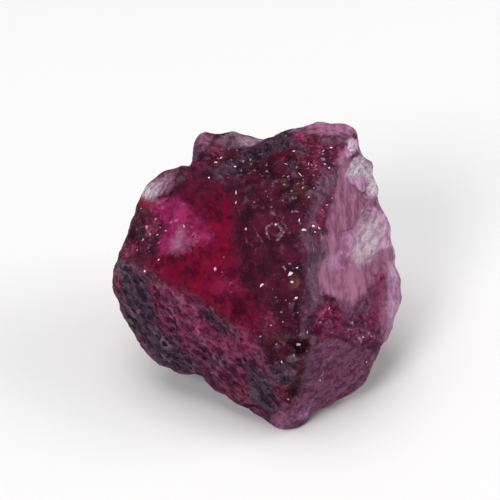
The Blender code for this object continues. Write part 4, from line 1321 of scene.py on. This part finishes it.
class StoneShader:
    """The stone's node tree, built up one kind of mark at a time."""

    def __init__(self, finish: RubyFinish, show: ShowSide) -> None:
        """Starts the tree with what several marks share.

        Args:
            finish: the finish's colours and sizes.
            show: where across, up and out are.
        """
        self.finish = finish
        self.bench = ShaderBench("ruby")
        turn = show.lean - math.pi / 2
        shift = Matrix.Rotation(turn, 3, "X") @ Vector(show.middle)
        objects = self.bench.node("ShaderNodeTexCoord", output="Object")
        self.spot = self.bench.node(
            "ShaderNodeMapping",
            {"vector_type": "POINT"},
            {"Vector": objects, "Location": shift, "Rotation": (turn, 0, 0), "Scale": (1 / MM,) * 3},
        )
        self.coarse = self.grain(finish.coarse)
        self.fine = self.grain(finish.fine)
        self.glint = self.bench.painted(GLINT)
        crumble = self.bench.layer(Layer.CRUMBLE) * (1 - finish.plum_calm * self.bench.layer(Layer.PLUM))
        self.crumbly = crumble.larger(self.bench.layer(Layer.LEDGE))
        glassy = self.bench.layer(Layer.WINDOW).larger(self.bench.layer(Layer.MAGENTA))
        self.glassy = glassy.larger(self.bench.layer(Layer.ROSE))

    def grain(self, grain: Grain, spot: Optional[Field] = None) -> Field:
        """Noise, about 0.3 to 0.7.

        Args:
            grain: its features' size, turn and detail.
            spot: (across, up, out) in millimetres, if not the stone's own.

        Returns:
            The noise.
        """
        laid = self.bench.node(
            "ShaderNodeMapping",
            {"vector_type": "TEXTURE"},
            {"Vector": spot or self.spot, "Rotation": (0, 0, math.radians(grain.turn)), "Scale": grain.size},
        )
        sockets = {"Vector": laid, "Scale": 1.0, "Detail": grain.detail}
        sockets |= {"Roughness": self.finish.rough, "Distortion": self.finish.twist}
        return self.bench.node("ShaderNodeTexNoise", {}, sockets)

    def mottled(self, look: Look) -> Field:
        """One finish's colour."""
        finish = self.finish
        share = self.grain(Grain(look.size, look.turn)).swell(look.contrast)
        colour = self.bench.blend(share, linear(look.dark), linear(look.light))
        if look.accent is None:
            return colour
        apart = self.bench.vector("ADD", self.spot, finish.accent_apart)
        smaller = tuple(part * finish.accent_size for part in look.size)
        share = self.grain(Grain(smaller, look.turn), apart).swell(finish.accent_edge, look.rare)
        return self.bench.blend(share * finish.accent_strength, colour, linear(look.accent))

    def layered(self) -> Field:
        """The body's colour with every finish laid over it in turn."""
        colour = self.mottled(self.finish.body)
        for layer, look in LOOKS.items():
            share = self.bench.layer(layer)
            edge = share + (self.coarse - MIDDLE) * look.broken + (self.fine - MIDDLE) * look.broken
            laid = edge.swell(look.soft) * share.ramp(*self.finish.entry) * look.strength
            colour = self.bench.blend(laid, colour, self.mottled(look))
        return colour

    def veined(self, colour: Field) -> Field:
        """A colour with thin pale veins."""
        finish = self.finish
        line = abs(self.grain(finish.veins) - MIDDLE).ramp(finish.vein_width, 0.0)
        kept_clear = self.bench.layer(Layer.WINDOW).larger(self.bench.layer(Layer.PLUM)) * finish.vein_clear
        line = line * self.coarse.ramp(*finish.vein_zone) * (1 - kept_clear)
        return self.bench.blend(line * finish.vein_strength, colour, linear(finish.pale))

    def shade_hollows(self, colour: Field, deep: Field) -> Field:
        """A colour with painted shade in the hollows, and paler on their rims."""
        finish = self.finish
        hollow = self.bench.painted(HOLLOW)
        colour = self.bench.blend(hollow.ramp(*finish.hollow_shade_span) * finish.hollow_shade_strength, colour, deep)
        rim = hollow.ramp(*finish.rim_span) * (finish.rim_strength - finish.rim_strength * self.glassy)
        return self.bench.blend(rim, colour, linear(finish.pale))

    def cracks(self) -> Field:
        """Thin joints between grains, 1 on a joint and 0 off it."""
        finish = self.finish
        bent = self.bench.vector("ADD", self.spot, self.grain(finish.crack_bend) * finish.crack_stray)
        sockets = {"Vector": bent, "Scale": 1 / finish.crack_size}
        joint = self.bench.node("ShaderNodeTexVoronoi", {"feature": "DISTANCE_TO_EDGE"}, sockets, "Distance")
        return joint.ramp(finish.crack_width, 0.0) * self.coarse.ramp(*finish.crack_zone)

    def cracked(self, colour: Field, deep: Field) -> Field:
        """A colour with dark bits and cracks."""
        finish = self.finish
        everywhere, on_glass, in_window = finish.dark_marks
        bits = self.grain(finish.bits).ramp(*finish.bit_span) * finish.bit_strength
        strength = everywhere + on_glass * self.glassy + in_window * self.bench.layer(Layer.WINDOW)
        return self.bench.blend(bits.larger(self.cracks()) * strength, colour, deep)

    def specked(self, colour: Field) -> Field:
        """A colour with fine pale specks, off the glassy finishes."""
        finish = self.finish
        everywhere, where_crumbly, on_rust = finish.speck_marks
        specks = self.grain(finish.specks).ramp(*finish.speck_span) * self.coarse.ramp(*finish.speck_zone)
        strength = everywhere + where_crumbly * self.crumbly + on_rust * self.bench.layer(Layer.RUST)
        return self.bench.blend(specks * strength * (1 - self.glassy), colour, linear(finish.speck))

    def glinting_grains(self, colour: Field) -> Field:
        """A colour with that of the set grains, the brighter the whiter, the whitest a painted glint."""
        finish = self.finish
        whiter = self.glint.ramp(*finish.grain_tone)
        tone = self.bench.blend(whiter, linear(finish.speck), linear(finish.fleck_glint))
        return self.bench.blend(self.glint.ramp(*finish.grain_edge), colour, tone)

    def normal(self, facets: Field) -> Field:
        """The way that the surface faces: finely bumped, and glittering where it is crumbly."""
        finish = self.finish
        everywhere, where_crumbly, on_glass = finish.bump_heights
        strength = everywhere + where_crumbly * self.crumbly + on_glass * self.glassy
        bump = self.bench.node(
            "ShaderNodeBump",
            {},
            {
                "Strength": finish.bump_strength,
                "Distance": finish.bump_distance,
                "Height": self.grain(finish.bumps) * strength,
            },
        )
        tilt = self.bench.vector("SUBTRACT", facets, (MIDDLE,) * 3)
        least, crumbly = finish.glitter
        off_grains = 1 - self.glint.ramp(*finish.grain_edge)
        glitter = self.bench.scaled(tilt, (self.crumbly * crumbly + least) * off_grains)
        return self.bench.vector("NORMALIZE", self.bench.vector("ADD", bump, glitter))

    def shine(self, facets: Field) -> Field:
        """How much of a glossy coat there is: on a few crumbly facets and on the brightest set grains."""
        finish = self.finish
        chance = self.bench.node("ShaderNodeSeparateColor", {}, {0: facets}, 2)
        few = chance.ramp(*finish.shiny_facets) * self.crumbly * finish.facet_shine
        return few.larger(self.glint.ramp(*finish.grain_shine))

    def material(self) -> bpy.types.Material:
        """Builds the finish.

        Returns:
            The material.
        """
        finish, bench = self.finish, self.bench
        colour = self.veined(self.layered())
        deep = bench.blend(1.0, colour, finish.deepen, "MULTIPLY")
        # painted shade in the hollows, then dark bits and cracks, specks, and the grains' colour with its
        # painted glints
        colour = self.glinting_grains(self.specked(self.cracked(self.shade_hollows(colour, deep), deep)))
        facet_sockets = {"Vector": self.spot, "Scale": 1 / finish.facet_size}
        facets = bench.node("ShaderNodeTexVoronoi", {}, facet_sockets, "Color")
        shared = {"Normal": self.normal(facets), "IOR": finish.refraction}
        frosted = bench.principled(
            shared
            | {
                "Base Color": colour,
                "Roughness": finish.roughness,
                "Specular IOR Level": finish.specular,
                "Coat Weight": self.shine(facets),
                "Coat Roughness": finish.coat_roughness,
                "Coat IOR": finish.refraction,
            }
        )
        glass = bench.principled(
            shared
            | {
                "Base Color": bench.blend(finish.glass_pale, colour, (1, 1, 1, 1)),
                "Roughness": finish.glass_roughness,
                "Transmission Weight": 1.0,
            }
        )
        clear = bench.layer(Layer.CLEAR) * finish.clear_strength
        return bench.dress(bench.node("ShaderNodeMixShader", {}, {0: clear, 1: frosted, 2: glass}))


# ---------------------------------------------------------------- the studio


@dataclass(frozen=True)
class Lamp:
    """A soft square lamp that faces the stone."""

    name: str
    place: tuple[float, float, float]  # where it hangs, in metres
    side: float  # in metres
    watts: float

    def hang(self, target: Vector) -> None:
        """Hangs the lamp, turned to a point in metres."""
        data = bpy.data.lights.new(self.name, "AREA")
        data.size = self.side
        data.energy = self.watts
        lamp = add_object(self.name, data)
        lamp.location = self.place
        lamp.rotation_mode = "QUATERNION"
        lamp.rotation_quaternion = (target - Vector(self.place)).to_track_quat("-Z", "Y")


@dataclass(frozen=True)
class Studio:
    """Pale table, soft lamps and the camera."""

    show: ShowSide
    floor_size: float = 3.0  # in metres
    floor_chip: Chip = (244, 243, 243)
    floor_roughness: float = 0.9
    room_light: float = 0.2
    lamps: tuple[Lamp, ...] = (
        Lamp("softbox_above", (-0.12, 0.10, 0.55), 0.45, 1.8),
        Lamp("softbox_left", (-0.25, -0.35, 0.35), 0.2, 1.3),
        Lamp("softbox_right", (0.35, 0.05, 0.25), 0.25, 0.7),
    )
    lit_height: float = 0.01  # how far above the table's middle the lamps point, in metres
    lens: float = 150.0  # its focal length, in millimetres
    film: float = 36.0  # its width, in millimetres
    nearest: float = 0.01  # how near the camera still sees, in metres

    def floor(self) -> None:
        """The table top."""
        mesh = bpy.data.meshes.new("table_top")
        top = bmesh.new()
        bmesh.ops.create_grid(top, x_segments=1, y_segments=1, size=self.floor_size / 2)
        top.to_mesh(mesh)
        top.free()
        bench = ShaderBench("pale_table")
        surface = bench.principled({"Base Color": linear(self.floor_chip), "Roughness": self.floor_roughness})
        mesh.materials.append(bench.dress(surface))
        add_object("table_top", mesh)

    def camera(self) -> None:
        """The camera, which looks straight at the show side."""
        data = bpy.data.cameras.new("camera")
        data.lens = self.lens
        data.sensor_width = self.film
        data.clip_start = self.nearest
        camera = add_object("camera", data)
        camera.location = self.show.point(*self.show.aim, self.show.distance)
        camera.rotation_mode = "QUATERNION"
        camera.rotation_quaternion = (-self.show.out).to_track_quat("-Z", "Y")
        bpy.context.scene.camera = camera

    def build(self) -> None:
        """Sets the studio up."""
        scene = bpy.context.scene
        scene.view_settings.view_transform = "Standard"
        scene.world = bpy.data.worlds.new("room")
        scene.world.use_nodes = True
        room = scene.world.node_tree.nodes["Background"]
        room.inputs["Color"].default_value = (1, 1, 1, 1)
        room.inputs["Strength"].default_value = self.room_light
        self.floor()
        for lamp in self.lamps:
            lamp.hang(Vector((0, 0, self.lit_height)))
        self.camera()
        log.info("studio: camera, table top and %d lamps", len(self.lamps))


def main() -> None:
    """Builds the studio and the stone, gives the stone its finish, hangs it on the root body and hides the
    imported solid.
    """
    logging.basicConfig(level=logging.INFO, format="%(message)s")
    show = ShowSide()
    Studio(show).build()
    stone = RubyStone(show).build()
    stone.data.materials.append(StoneShader(RubyFinish(), show).material())
    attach(stone, BODY)
    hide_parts(NODE)


if __name__ == "__main__":
    main()
